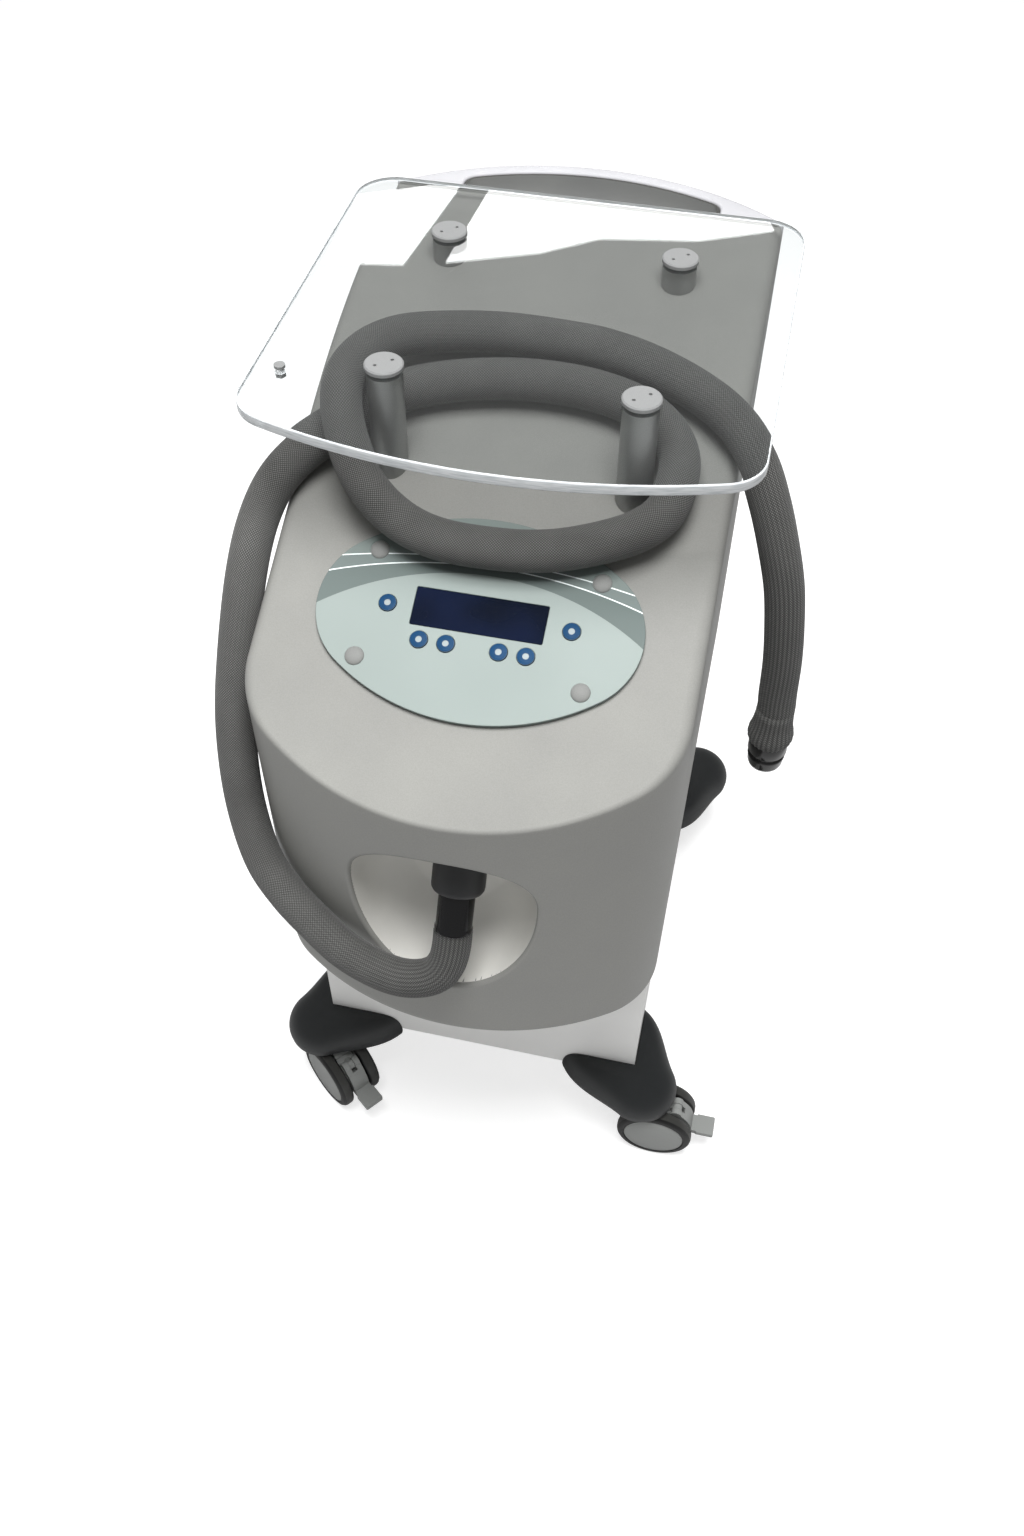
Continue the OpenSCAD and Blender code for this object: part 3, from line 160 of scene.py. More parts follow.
# silver lacquer on the handle: an even sheen
handlePaint = moulded("lacquer_silver_white", ["#b3b3b6", "#bbbbbe"], 0.4, 0.8, 0.01, Metallic=0.2)
# dipped enamel: a wet black gloss with slight waves
compressorBlack = moulded("enamel_black", ["#0f1011", "#17181a"], 0.28, 2.0, 0.03)
# solder mask on the board: green, half glossy
boardGreen = moulded("circuit_board_green", ["#1c5a37", "#17502f"], 0.4, 1.0, 0.02)
# drawn copper pipe: bright, slightly uneven
copperPipe = moulded("copper_bare", ["#b06b45", "#9d5c3a"], 0.3, 0.6, 0.01, Metallic=1.0)
# rubber tread: dark grey, a little smoother than the tyre's sides
treadGrey = moulded("rubber_tread_grey", ["#2c2c2a", "#343432"], 0.45, 0.6, 0.02)
# cut edge of the plate's glass: a darker, duller green than its face
glassEdge = moulded("glass_edge_green", ["#6d7a77", "#62706d"], 0.1, 0.8, 0.005)
# membrane keys: smooth printed film
keyBlue = moulded("key_membrane_blue", ["#143a5c", "#123656"], 0.3, 0.4, 0.005)
keyWhite = moulded("key_membrane_white", ["#8f9799", "#889092"], 0.3, 0.4, 0.005)


def metal(name, colours, rough, factors, metallic=0.85):
    # fine marks, thinner along the directions whose factor is larger
    material, tree, shader, place = newMaterial(name, colours[0], rough, Metallic=metallic)
    drawn = addNode(tree, "ShaderNodeMapping", {"Vector": place, "Scale": factors})
    marks = addNode(tree, "ShaderNodeTexNoise", {"Vector": drawn, "Scale": 1 / (1.2 * mm), "Detail": 3})
    tone = addNode(tree, "ShaderNodeValToRGB", {"Fac": marks}, [(0.3, colours[0]), (0.7, colours[1])])
    gloss = addNode(tree, "ShaderNodeValToRGB", {"Fac": marks}, [(0.3, rough), (0.7, rough + 0.12)])
    relief = addNode(tree, "ShaderNodeBump", {"Height": marks, "Distance": 0.02 * mm, "Strength": 1.0})
    setInputs(tree, shader, {"Base Color": tone, "Roughness": gloss, "Normal": relief})
    return material


# posts, turned on a lathe: fine rings round them
turnedSteel = metal("stainless_turned", ["#a9aaa9", "#989998"], 0.34, (1, 1, 30))
# sheet, brushed one way: fine lines from left to right
sheetSteel = metal("steel_sheet_brushed", ["#a9abad", "#989a9c"], 0.38, (1, 40, 40))
# caps and plate screws, bead blasted: satin, the same from all sides, the screws a little duller
capSteel = metal("stainless_blasted", ["#a5a6a6", "#9b9c9c"], 0.5, (4, 4, 4), 0.5)
domeSteel = metal("stainless_dome_dull", ["#9a9b99", "#919290"], 0.45, (4, 4, 4), 0.45)


def tyreRubber():
    # soft black rubber: dull, with a greyish bloom
    material, tree, shader, place = newMaterial("rubber_tyre_black", "#0c0c0c", 0.55)
    bloom = addNode(tree, "ShaderNodeTexNoise", {"Vector": place, "Scale": 1 / (12 * mm), "Detail": 4})
    tone = addNode(tree, "ShaderNodeValToRGB", {"Fac": bloom}, [(0.35, "#090909"), (0.7, "#131313")])
    fine = addNode(tree, "ShaderNodeTexNoise", {"Vector": place, "Scale": 1 / (0.6 * mm), "Detail": 2})
    relief = addNode(tree, "ShaderNodeBump", {"Height": fine, "Distance": 0.03 * mm, "Strength": 1.0})
    setInputs(tree, shader, {"Base Color": tone, "Normal": relief})
    return material


tyreBlack = tyreRubber()


def clearAcrylic():
    # cast acrylic sheet: clear, with a very light haze from handling
    material, tree, shader, place = newMaterial("acrylic_clear_cast", "#f6f9f9", 0.0,
                                                Transmission_Weight=1.0, IOR=1.49)
    wiped = addNode(tree, "ShaderNodeMapping", {"Vector": place, "Scale": (1, 6, 1)})
    wipes = addNode(tree, "ShaderNodeTexNoise", {"Vector": wiped, "Scale": 1 / (40 * mm), "Detail": 6})
    haze = addNode(tree, "ShaderNodeValToRGB", {"Fac": wipes}, [(0.55, 0.0), (0.85, 0.04)])
    setInputs(tree, shader, {"Roughness": haze})
    # most light goes through the sheet, which only dims its shadow
    through = addNode(tree, "ShaderNodeBsdfTransparent", {0: (0.78, 0.78, 0.78, 1)})
    shadow = addNode(tree, "ShaderNodeLightPath").outputs["Is Shadow Ray"]
    mixed = addNode(tree, "ShaderNodeMixShader", {0: shadow, 1: shader, 2: through})
    setInputs(tree, tree.nodes["Material Output"], {"Surface": mixed})
    return material


def polishedEdge():
    # flame-polished edge of the sheet: its colour is painted near white, as painted light for the light that
    # runs inside the sheet and comes out here; the light and darker streaks along it are painted too
    material, tree, shader, place = newMaterial("acrylic_edge_polished", "#f2f5f7", 0.12,
                                                Transmission_Weight=0.35, IOR=1.49)
    drawn = addNode(tree, "ShaderNodeMapping", {"Vector": place, "Scale": (1, 1, 12)})
    streak = addNode(tree, "ShaderNodeTexNoise", {"Vector": drawn, "Scale": 1 / (14 * mm), "Detail": 2})
    tone = addNode(tree, "ShaderNodeValToRGB", {"Fac": streak}, [(0.35, "#d3d8db"), (0.6, "#eef1f3")])
    setInputs(tree, shader, {"Base Color": tone})
    return material


acrylic = clearAcrylic()
acrylicEdge = polishedEdge()

plateTilt = math.radians(25)
plate = {
    "centreY": 24, "thick": 4.5, "seat": 0.2, "width": 236, "height": 154, "endRadius": 0.37,
    "window": (96, 29), "windowV": 3.5,
    "keys": {"button_power": (-66.5, 2), "button_start": (66.5, 2), "key_1": (-38.5, -21.5),
             "key_2": (-19, -21.5), "key_3": (19, -21.5), "key_4": (38.5, -21.5)},
    "keyWidth": 12.6, "keyProud": 1.0, "keyReach": 9.0, "screws": (162, 82), "screwSize": (14, 3.0, 16),
    # circles of the print, each as its centre and radius: where the band starts, then two pale lines
    "band": (2.6, -166.6, 200.3), "lines": [(5.3, -314.9, 355.2), (5.9, -466.5, 511.9)],
    "bandShade": "#5f6866", "lineShades": ["#697270", "#6e7774"], "lineHalf": 0.45,
}
hood = {
    "half": 161, "rear": 408, "low": 327, "lowRows": [333, 345, 358], "wall": 3, "nose": 114, "noseR": 230,
    "cornerR": 70, "slopeZ": 647, "slopeEnd": 140, "crownR": 600, "shoulder": 10, "noseEdge": 3.5,
    "cornerEdge": 4.5, "rearEdge": 4, "rearR": 5,
}
hood["crownY"] = hood["slopeEnd"] + hood["crownR"] * math.sin(plateTilt)
hood["crownZ"] = (hood["slopeZ"] + hood["slopeEnd"] * math.tan(plateTilt)
                  - hood["crownR"] * math.cos(plateTilt))


def deckZ(y):
    # height of the hood's top at distance y behind the front panel
    if y < hood["slopeEnd"]:
        return hood["slopeZ"] + y * math.tan(plateTilt)
    return hood["crownZ"] + math.sqrt(hood["crownR"] ** 2 - (hood["crownY"] - y) ** 2)


def onPlate(u, v, w=0.0):
    # a point drawn flat on the slope, in mm of the cart's frame
    return (u, plate["centreY"] + v * math.cos(plateTilt) - w * math.sin(plateTilt) + frontY,
            deckZ(plate["centreY"]) + v * math.sin(plateTilt) + w * math.cos(plateTilt))


def plateGlass():
    # toughened glass printed from behind: pale aqua, a darker band on top and two thin pale arcs
    material, tree, shader, place = newMaterial("glass_printed_aqua", "#c3cdca", 0.08)
    sin, cos = math.sin(plateTilt), math.cos(plateTilt)
    origin = onPlate(0, 0)
    u = addNode(tree, "ShaderNodeSeparateXYZ", {0: place})
    up = addNode(tree, "ShaderNodeVectorMath", {0: place, 1: (0, cos, sin)}, operation="DOT_PRODUCT")
    v = addNode(tree, "ShaderNodeMath", {0: up.outputs["Value"], 1: (origin[1] * cos + origin[2] * sin) * mm},
                operation="SUBTRACT")
    flat = addNode(tree, "ShaderNodeCombineXYZ", {0: u, 1: v})

    def fromCentre(circle):
        away = addNode(tree, "ShaderNodeVectorMath", {0: flat, 1: (circle[0] * mm, circle[1] * mm, 0)},
                       operation="DISTANCE")
        return away.outputs["Value"]

    start = addNode(tree, "ShaderNodeMath", {0: fromCentre(plate["band"]), 1: plate["band"][2] * mm},
                    operation="GREATER_THAN")
    layers = [(start, plate["bandShade"])]
    for line, shade in zip(plate["lines"], plate["lineShades"]):
        past = addNode(tree, "ShaderNodeMath", {0: fromCentre(line), 1: line[2] * mm}, operation="SUBTRACT")
        beyond = addNode(tree, "ShaderNodeMath", {0: past, 1: 0.0}, operation="GREATER_THAN")
        away = addNode(tree, "ShaderNodeMath", {0: past}, operation="ABSOLUTE")
        near = addNode(tree, "ShaderNodeMath", {0: away, 1: plate["lineHalf"] * mm}, operation="LESS_THAN")
        layers += [(beyond, shade), (near, "#dde5e4")]
    drift = addNode(tree, "ShaderNodeTexNoise", {"Vector": place, "Scale": 1 / (120 * mm), "Detail": 2})
    colour = addNode(tree, "ShaderNodeValToRGB", {"Fac": drift}, [(0.3, "#828b88"), (0.7, "#88918e")])
    for factor, shade in layers:
        colour = addNode(tree, "ShaderNodeMix", {0: factor, 6: colour, 7: linear(shade)},
                         data_type="RGBA").outputs[2]
    setInputs(tree, shader, {"Base Color": colour})
    return material


def displayWindow():
    # dark window over the display: near black with a blue cast that drifts a little
    material, tree, shader, place = newMaterial("display_navy_gloss", "#0a1226", 0.08,
                                                Specular_IOR_Level=0.25)
    cloud = addNode(tree, "ShaderNodeTexNoise", {"Vector": place, "Scale": 1 / (45 * mm), "Detail": 1})
    tone = addNode(tree, "ShaderNodeValToRGB", {"Fac": cloud}, [(0.35, "#050a15"), (0.7, "#0b142b")])
    setInputs(tree, shader, {"Base Color": tone})
    return material


aquaGlass = plateGlass()
displayNavy = displayWindow()

sleeve = {
    "radius": 15, "step": 3.0, "sides": 56, "yarn": 2.0, "folds": 28, "foldDeep": 0.5,
    "outletFolds": 190, "endFolds": 330, "endGather": 1.2, "between": 0.22, "betweenWaves": (95, 41),
    "flareFolds": 28, "flareDeep": 0.4, "flareR": 18.8, "cloth": 0.8,
}
# a whole number of yarns round the sleeve, so that its seam closes
sleeve["around"] = round(2 * math.pi * sleeve["radius"] / sleeve["yarn"] / 2) * 2 * sleeve["yarn"]


def sleeveBraid():
    # sleeve braided from grey polyester: light diagonal yarns over darker gaps, and lengthwise folds with
    # painted shade in their valleys
    # the real yarns are about 0.8 mm apart, drawn at 2 mm so that they show
    material, tree, shader, place = newMaterial("polyester_braid_grey", "#5c5c5b", 0.78, Sheen_Weight=0.1)
    along = addNode(tree, "ShaderNodeUVMap", uv_map="sleeve")
    split = addNode(tree, "ShaderNodeSeparateXYZ", {0: along}).outputs
    waves = []
    for operation in ("ADD", "SUBTRACT"):
        turned = addNode(tree, "ShaderNodeMath", {0: split[0], 1: split[1]}, operation=operation)
        phase = addNode(tree, "ShaderNodeMath", {0: turned, 1: math.pi / sleeve["yarn"]},
                        operation="MULTIPLY")
        waves.append(addNode(tree, "ShaderNodeMath", {0: phase}, operation="SINE"))
    crossed = addNode(tree, "ShaderNodeMath", dict(enumerate(waves)), operation="MULTIPLY")
    weave = addNode(tree, "ShaderNodeMath", {0: crossed}, operation="ABSOLUTE")
    tone = addNode(tree, "ShaderNodeValToRGB", {"Fac": weave},
                   [(0.03, "#2c2c2b"), (0.3, "#4a4a49"), (0.8, "#6d6d6b")])
    cloud = addNode(tree, "ShaderNodeTexNoise", {"Vector": place, "Scale": 1 / (25 * mm), "Detail": 3})
    soft = addNode(tree, "ShaderNodeValToRGB", {"Fac": cloud}, [(0.3, 0.86), (0.7, 1.0)])
    # painted shade: the valleys of the folds are darkened where the sleeve is gathered, as shade falls in
    # them
    turns = 2 * math.pi * sleeve["folds"] / sleeve["around"]
    angle = addNode(tree, "ShaderNodeMath", {0: split[0], 1: turns}, operation="MULTIPLY")
    swing = addNode(tree, "ShaderNodeMath", {0: angle}, operation="COSINE")
    valley = addNode(tree, "ShaderNodeMath", {0: swing, 1: -0.5, 2: 0.5}, operation="MULTIPLY_ADD")
    gather = addNode(tree, "ShaderNodeAttribute", attribute_name="gather").outputs["Fac"]
    foldValleyShade = addNode(tree, "ShaderNodeMath", {0: valley, 1: gather}, operation="MULTIPLY")
    dark = addNode(tree, "ShaderNodeValToRGB", {"Fac": foldValleyShade}, [(0.0, 1.0), (1.0, 0.42)])
    for layer in (soft, dark):
        tone = addNode(tree, "ShaderNodeMix", {0: 1.0, 6: tone, 7: layer},
                       data_type="RGBA", blend_type="MULTIPLY").outputs[2]
    relief = addNode(tree, "ShaderNodeBump", {"Height": weave, "Distance": 0.3 * mm, "Strength": 0.8})
    setInputs(tree, shader, {"Base Color": tone, "Normal": relief})
    return material


braid = sleeveBraid()
print("stage: materials")


# mesh tools, in mm of the cart's frame
def finishMesh(name, mesh, materials, smooth=True, sharp=None):
    # the mesh's materials and object; doubled points are merged and edges past sharp degrees marked
    merge, sliver = 0.002 * mm, 1e-7
    mesh.name = name
    mesh.materials.clear()
    for material in materials if isinstance(materials, list) else [materials]:
        mesh.materials.append(material)
    work = bmesh.new()
    work.from_mesh(mesh)
    bmesh.ops.remove_doubles(work, verts=work.verts, dist=merge)
    bmesh.ops.dissolve_degenerate(work, edges=work.edges, dist=sliver)
    bmesh.ops.recalc_face_normals(work, faces=work.faces)
    for face in work.faces:
        face.smooth = smooth
    if sharp:
        limit = math.radians(sharp)
        for edge in work.edges:
            if len(edge.link_faces) == 2:
                edge.smooth = edge.calc_face_angle(0) < limit
    work.to_mesh(mesh)
    work.free()
    return addObject(name, mesh)


def makeMesh(name, points, faces, materials, smooth=True, sharp=None):
    mesh = bpy.data.meshes.new(name)
    mesh.from_pydata([[c * mm for c in p] for p in points], [], faces)
    return finishMesh(name, mesh, materials, smooth, sharp)


def takeMesh(holder):
    # the evaluated shape of a curve or a tree as a plain mesh; its holder goes
    bpy.context.view_layer.update()
    mesh = bpy.data.meshes.new_from_object(holder.evaluated_get(bpy.context.evaluated_depsgraph_get()))
    bpy.data.objects.remove(holder)
    return mesh


def loft(rings, closed=True, capFirst=False, capLast=False):
    # a skin through rings that all have as many points
    points = [p for ring in rings for p in ring]
    n = len(rings[0])
    faces = []
    for j in range(len(rings) - 1):
        for k in range(n if closed else n - 1):
            a, b = j * n + k, j * n + (k + 1) % n
            faces.append((a, b, b + n, a + n))
    if capFirst:
        faces.append(tuple(range(n)))
    if capLast:
        last = (len(rings) - 1) * n
        faces.append(tuple(last + k for k in reversed(range(n))))
    return points, faces


def lathe(name, profile, materials, place, axis=(0, 0, 1), steps=96, sharp=40, pick=None):
    # a profile of (radius, height) turned about an axis through place
    up = Vector(axis).normalized()
    side = up.orthogonal().normalized()
    other = up.cross(side)
    rings = []
    for radius, height in profile:
        rings.append([Vector(place) + up * height + radius * (side * math.cos(a) + other * math.sin(a))
                      for a in (2 * math.pi * k / steps for k in range(steps))])
    made = makeMesh(name, *loft(rings), materials, True, sharp)
    if pick:
        for face in made.data.polygons:
            middle = face.center / mm - Vector(place)
            height = middle.dot(up)
            face.material_index = pick((middle - up * height).length, height)
    return made


def put(piece, body, slot, *nodes):
    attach(piece, body)
    if nodes:
        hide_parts(*nodes)
    return piece


def flatCurve(name, outlines, thick, edge, toSpace, materials, segments=3, sharp=12):
    # outlines with holes, filled, thickened and rounded at the edges, then laid in space
    curve = bpy.data.curves.new(name, "CURVE")
    curve.dimensions = "2D"
    curve.fill_mode = "BOTH"
    curve.extrude = (thick / 2 - edge) * mm
    curve.bevel_depth = edge * mm
    curve.bevel_resolution = segments
    curve.offset = -edge * mm
    for outline in outlines:
        spline = curve.splines.new("POLY")
        spline.points.add(len(outline) - 1)
        for point, (x, y) in zip(spline.points, outline):
            point.co = (x * mm, y * mm, 0, 1)
        spline.use_cyclic_u = True
    mesh = takeMesh(addObject(name + "_curve", curve))
    for vertex in mesh.vertices:
        vertex.co = Vector(toSpace(*(vertex.co / mm))) * mm
    return finishMesh(name, mesh, materials, True, sharp)


def arc(cx, cy, r, start, end, steps):
    turns = [math.radians(start + (end - start) * k / steps) for k in range(steps + 1)]
    return [(cx + r * math.cos(a), cy + r * math.sin(a)) for a in turns]


# hose: the same route as the solid, in metres
hoseRoute = [
    (0.008, -0.286, 0.460), (0.008, -0.2935, 0.447), (0.006, -0.300, 0.436), (0.000, -0.306, 0.427),
    (-0.012, -0.310, 0.421), (-0.030, -0.311, 0.418), (-0.052, -0.308, 0.420), (-0.077, -0.301, 0.426),
    (-0.102, -0.289, 0.435), (-0.128, -0.275, 0.447), (-0.151, -0.259, 0.466), (-0.167, -0.239, 0.499),
    (-0.174, -0.222, 0.542), (-0.177, -0.201, 0.585), (-0.177, -0.169, 0.633), (-0.177, -0.138, 0.665),
    (-0.176, -0.109, 0.683), (-0.167, -0.089, 0.702), (-0.152, -0.071, 0.716), (-0.133, -0.053, 0.725),
    (-0.112, -0.035, 0.732), (-0.088, -0.019, 0.739), (-0.056, -0.008, 0.744), (-0.020, -0.001, 0.747),
    (0.016, 0.002, 0.748), (0.051, 0.000, 0.747), (0.082, -0.008, 0.744), (0.104, -0.022, 0.739),
    (0.117, -0.039, 0.732), (0.120, -0.059, 0.724), (0.115, -0.079, 0.715), (0.100, -0.095, 0.709),
    (0.075, -0.108, 0.704), (0.042, -0.118, 0.699), (0.007, -0.122, 0.697), (-0.036, -0.122, 0.698),
    (-0.068, -0.115, 0.705), (-0.095, -0.101, 0.720), (-0.112, -0.083, 0.741), (-0.121, -0.061, 0.758),
    (-0.123, -0.035, 0.762), (-0.116, -0.007, 0.762), (-0.099, 0.017, 0.760), (-0.070, 0.032, 0.758),
    (-0.028, 0.037, 0.760), (0.017, 0.037, 0.760), (0.053, 0.034, 0.759), (0.090, 0.024, 0.756),
    (0.127, 0.008, 0.750), (0.154, -0.011, 0.743), (0.173, -0.030, 0.730), (0.186, -0.044, 0.709),
    (0.197, -0.054, 0.682), (0.207, -0.062, 0.650), (0.213, -0.067, 0.616), (0.217, -0.069, 0.582),
    (0.219, -0.070, 0.546), (0.220, -0.071, 0.534), (0.220, -0.071, 0.522), (0.220, -0.071, 0.510)]


def smoothRoute(points, step):
    # a smooth curve through the points, cut into even steps
    pts = [Vector(p) / mm for p in points]
    last = len(pts) - 1
    fine = []
    for k in range(last):
        a, b, c, d = pts[max(k - 1, 0)], pts[k], pts[k + 1], pts[min(k + 2, last)]
        for s in range(12):
            t = s / 12
            fine.append(0.5 * (2 * b + (c - a) * t + (2 * a - 5 * b + 4 * c - d) * t * t
                               + (3 * b - a - 3 * c + d) * t ** 3))
    fine.append(pts[-1])
    total = sum((q - p).length for p, q in zip(fine, fine[1:]))
    count = round(total / step)
    even = total / count
    out, gone, need = [fine[0]], 0.0, even
    for p, q in zip(fine, fine[1:]):
        length = (q - p).length
        while gone + length >= need - 1e-6 and len(out) < count:
            out.append(p.lerp(q, (need - gone) / length))
            need += even
        gone += length
    out.append(fine[-1])
    return out, total


def gathered(distance, toEnd):
    # how strongly the sleeve is gathered into folds: fully at both ends, a little in between
    ends = max(0, 1 - distance / sleeve["outletFolds"])
    ends += max(0, sleeve["endGather"] - toEnd / sleeve["endFolds"])
    slow, quick = sleeve["betweenWaves"]
    between = sleeve["between"] * max(0, math.sin(distance / slow) * math.sin(distance / quick + 1))
    return min(1, ends + between)


def buildHose():
    line, length = smoothRoute(hoseRoute, sleeve["step"])
    sides = sleeve["sides"]
    rings, uvs, gather = [], [], []
    side = Vector((1, 0, 0))
    gone = 0.0
    for k, centre in enumerate(line):
        forward = (line[min(k + 1, len(line) - 1)] - line[max(k - 1, 0)]).normalized()
        side = (side - forward * side.dot(forward)).normalized()
        other = forward.cross(side)
        if k:
            gone += (centre - line[k - 1]).length
        amount = gathered(gone, length - gone)
        ring = []
        for j in range(sides):
            angle = 2 * math.pi * j / sides + 0.12 * math.sin(gone / 70)
            radius = sleeve["radius"] - sleeve["foldDeep"] * amount * (j % 2)
            ring.append(centre + radius * (side * math.cos(angle) + other * math.sin(angle)))
        rings.append(ring)
        uvs.append(gone)
        gather += [amount] * sides
    points, faces = loft(rings, True, True, True)
    mesh = bpy.data.meshes.new("hose_sleeve")
    mesh.from_pydata([p * mm for p in points], [], faces)
    mesh.materials.append(braid)
    # the gathering also sets the painted shade in the fold valleys
    mesh.attributes.new("gather", "FLOAT", "POINT").data.foreach_set("value", gather)
    layer = mesh.uv_layers.new(name="sleeve")
    for face in mesh.polygons:
        face.use_smooth = True
        columns = [mesh.loops[i].vertex_index % sides for i in face.loop_indices]
        wraps = len(columns) == 4 and max(columns) == sides - 1 and min(columns) == 0
        for i in face.loop_indices:
            row, column = divmod(mesh.loops[i].vertex_index, sides)
            if wraps and column == 0:
                column = sides
            layer.data[i].uv = (sleeve["around"] * column / sides, uvs[row])
    return addObject("hose_sleeve", mesh), line, length


def buildFlare():
    # the sleeve's gathered end, flared over the end piece
    centre, sides = Vector(hoseRoute[-1]) / mm, 4 * sleeve["flareFolds"]
    profile = [(15.3, 22), (15.35, 14), (15.7, 8), (16.3, 3), (17.2, -1), (18.1, -4.5), (18.5, -8),
               (18.2, -11.5), (17.0, -14.6), (16.2, -15.2), (15.2, -14.6), (14.6, -12)]
    rings = []
    for radius, height in profile:
        ring = []
        for j in range(sides):
            angle = 2 * math.pi * j / sides
            fold = sleeve["flareDeep"] * math.cos(sleeve["flareFolds"] * angle) * min(1, (24 - height) / 16)
            r = min(radius + fold - 0.3, sleeve["flareR"])
            ring.append(centre + Vector((r * math.cos(angle), r * math.sin(angle), height)))
        rings.append(ring)
    made = makeMesh("sleeve_flare", *loft(rings), braid)
    solid = made.modifiers.new("cloth", "SOLIDIFY")
    solid.thickness = sleeve["cloth"] * mm
    mesh = made.data
    # fully gathered, so the flare takes the full painted shade in its fold valleys
    mesh.attributes.new("gather", "FLOAT", "POINT").data.foreach_set("value", [1.0] * len(mesh.vertices))
    layer = mesh.uv_layers.new(name="sleeve")
    for face in mesh.polygons:
        angles = []
        for i in face.loop_indices:
            p = mesh.vertices[mesh.loops[i].vertex_index].co / mm - centre
            angles.append((math.atan2(p.y, p.x) % (2 * math.pi), p.z))
        wraps = max(a for a, z in angles) - min(a for a, z in angles) > math.pi
        for i, (a, z) in zip(face.loop_indices, angles):
            if wraps and a < math.pi:
                a += 2 * math.pi
            layer.data[i].uv = (sleeve["around"] * a / (2 * math.pi), z)
    return made


hoseSleeve, hoseLine, hoseLength = buildHose()
sleeveFlare = buildFlare()
outletWay = Vector((0, 0.5, math.sqrt(0.75)))
hoseEnd = Vector(hoseRoute[-1]) / mm
# the turned pieces at the hose's ends, each (radius, height along its axis)
nozzleProfile = [(9, -6), (9, -43), (9.6, -43.8), (12.2, -43.9), (13.4, -43.2), (14.2, -41),
                 (14.9, -34.5), (15.2, -33.4), (15.2, -32), (14.6, -31.2), (13.9, -30.6),
                 (13.9, -29.2), (15.2, -28.2), (15.9, -27), (15.9, -16), (15.4, -13),
                 (14.2, -11), (14.2, -6), (9, -6)]
cuffProfile = [(9, 2), (11.5, 0.1), (14.2, 0), (14.7, 0.5), (14.75, 3.2), (14.2, 4),
               (14.0, 4.6), (14.0, 55), (13.5, 56), (9, 56), (9, 2)]
endNozzle = lathe("end_nozzle", nozzleProfile, cuffBlack, hoseEnd)
hoseCuff = lathe("cuff_black", cuffProfile, cuffBlack, Vector(hoseRoute[0]) / mm, outletWay)
put(hoseSleeve, "cart", "hose_sleeve", "hose")
put(sleeveFlare, "cart", "hose_sleeve")
put(endNozzle, "cart", "cuff_black", "hose_end")
put(hoseCuff, "cart", "cuff_black", "hose_cuff")
print("stage: hose, length", round(hoseLength * mm, 3), "m")

# hood
bay = {"x": 0, "z": 497, "half": 71, "up": 55, "down": 105, "upPower": 2.3, "downPower": 2.1, "rim": 4.0,
       "depth": 62, "wall": 2.5, "frame": 95, "frameLow": 372, "frameHigh": 572, "columns": 38, "rows": 40}
noseCentre = hood["noseR"] - hood["nose"]
cornerX = hood["half"] - hood["cornerR"]
cornerY = noseCentre - math.sqrt((hood["noseR"] - hood["cornerR"]) ** 2 - cornerX ** 2)
cornerTurn = math.degrees(math.atan2(noseCentre - cornerY, cornerX))   # where nose and corner arcs meet


def noseY(x, inset=0.0):
    return noseCentre - math.sqrt((hood["noseR"] - inset) ** 2 - x * x)


def bayReach(angle):
    # distance from the bay's centre to its outline
    up = math.sin(angle) > 0
    n = bay["upPower"] if up else bay["downPower"]
    b = bay["up"] if up else bay["down"]
    return (abs(math.cos(angle) / bay["half"]) ** n + abs(math.sin(angle) / b) ** n) ** (-1 / n)


def hoodOutline():
    # half the plan, from the middle of the nose round to the rear: (x, y, outward x, outward y, edge radius)
    out = []
    half, cornerR, noseR, rearR = hood["half"], hood["cornerR"], hood["noseR"], hood["rearR"]
    noseEdge, cornerEdge = hood["noseEdge"], hood["cornerEdge"]
    shoulder, rearEdge = hood["shoulder"], hood["rearEdge"]
    frameX, frameSteps = bay["frame"], bay["columns"] // 2
    meet = cornerX + cornerR * math.cos(math.radians(cornerTurn))
    noseSpots = [(frameX * k / frameSteps, noseEdge) for k in range(frameSteps + 1)]
    noseSpots += [(frameX + (meet - frameX) * k / 5, noseEdge + (cornerEdge - noseEdge) * k / 5)
                  for k in range(1, 6)]
    for x, edge in noseSpots:
        out.append((x, noseY(x), x / noseR, (noseY(x) - noseCentre) / noseR, edge))
    for k in range(1, 19):
        a = math.radians(cornerTurn * (1 - k / 18))
        out.append((cornerX + cornerR * math.cos(a), cornerY - cornerR * math.sin(a),
                    math.cos(a), -math.sin(a), cornerEdge + (shoulder - cornerEdge) * k / 18))
    rearY = hood["rear"] - rearR
    for k in range(1, 47):
        out.append((half, cornerY + (rearY - cornerY) * k / 46, 1, 0, shoulder))
    for k in range(1, 7):
        a = math.radians(90 * k / 6)
        out.append((half - rearR * (1 - math.cos(a)), rearY + rearR * math.sin(a),
                    math.cos(a), math.sin(a), shoulder + (rearEdge - shoulder) * k / 6))
    out.append((0, hood["rear"], 0, 1, rearEdge))
    return out


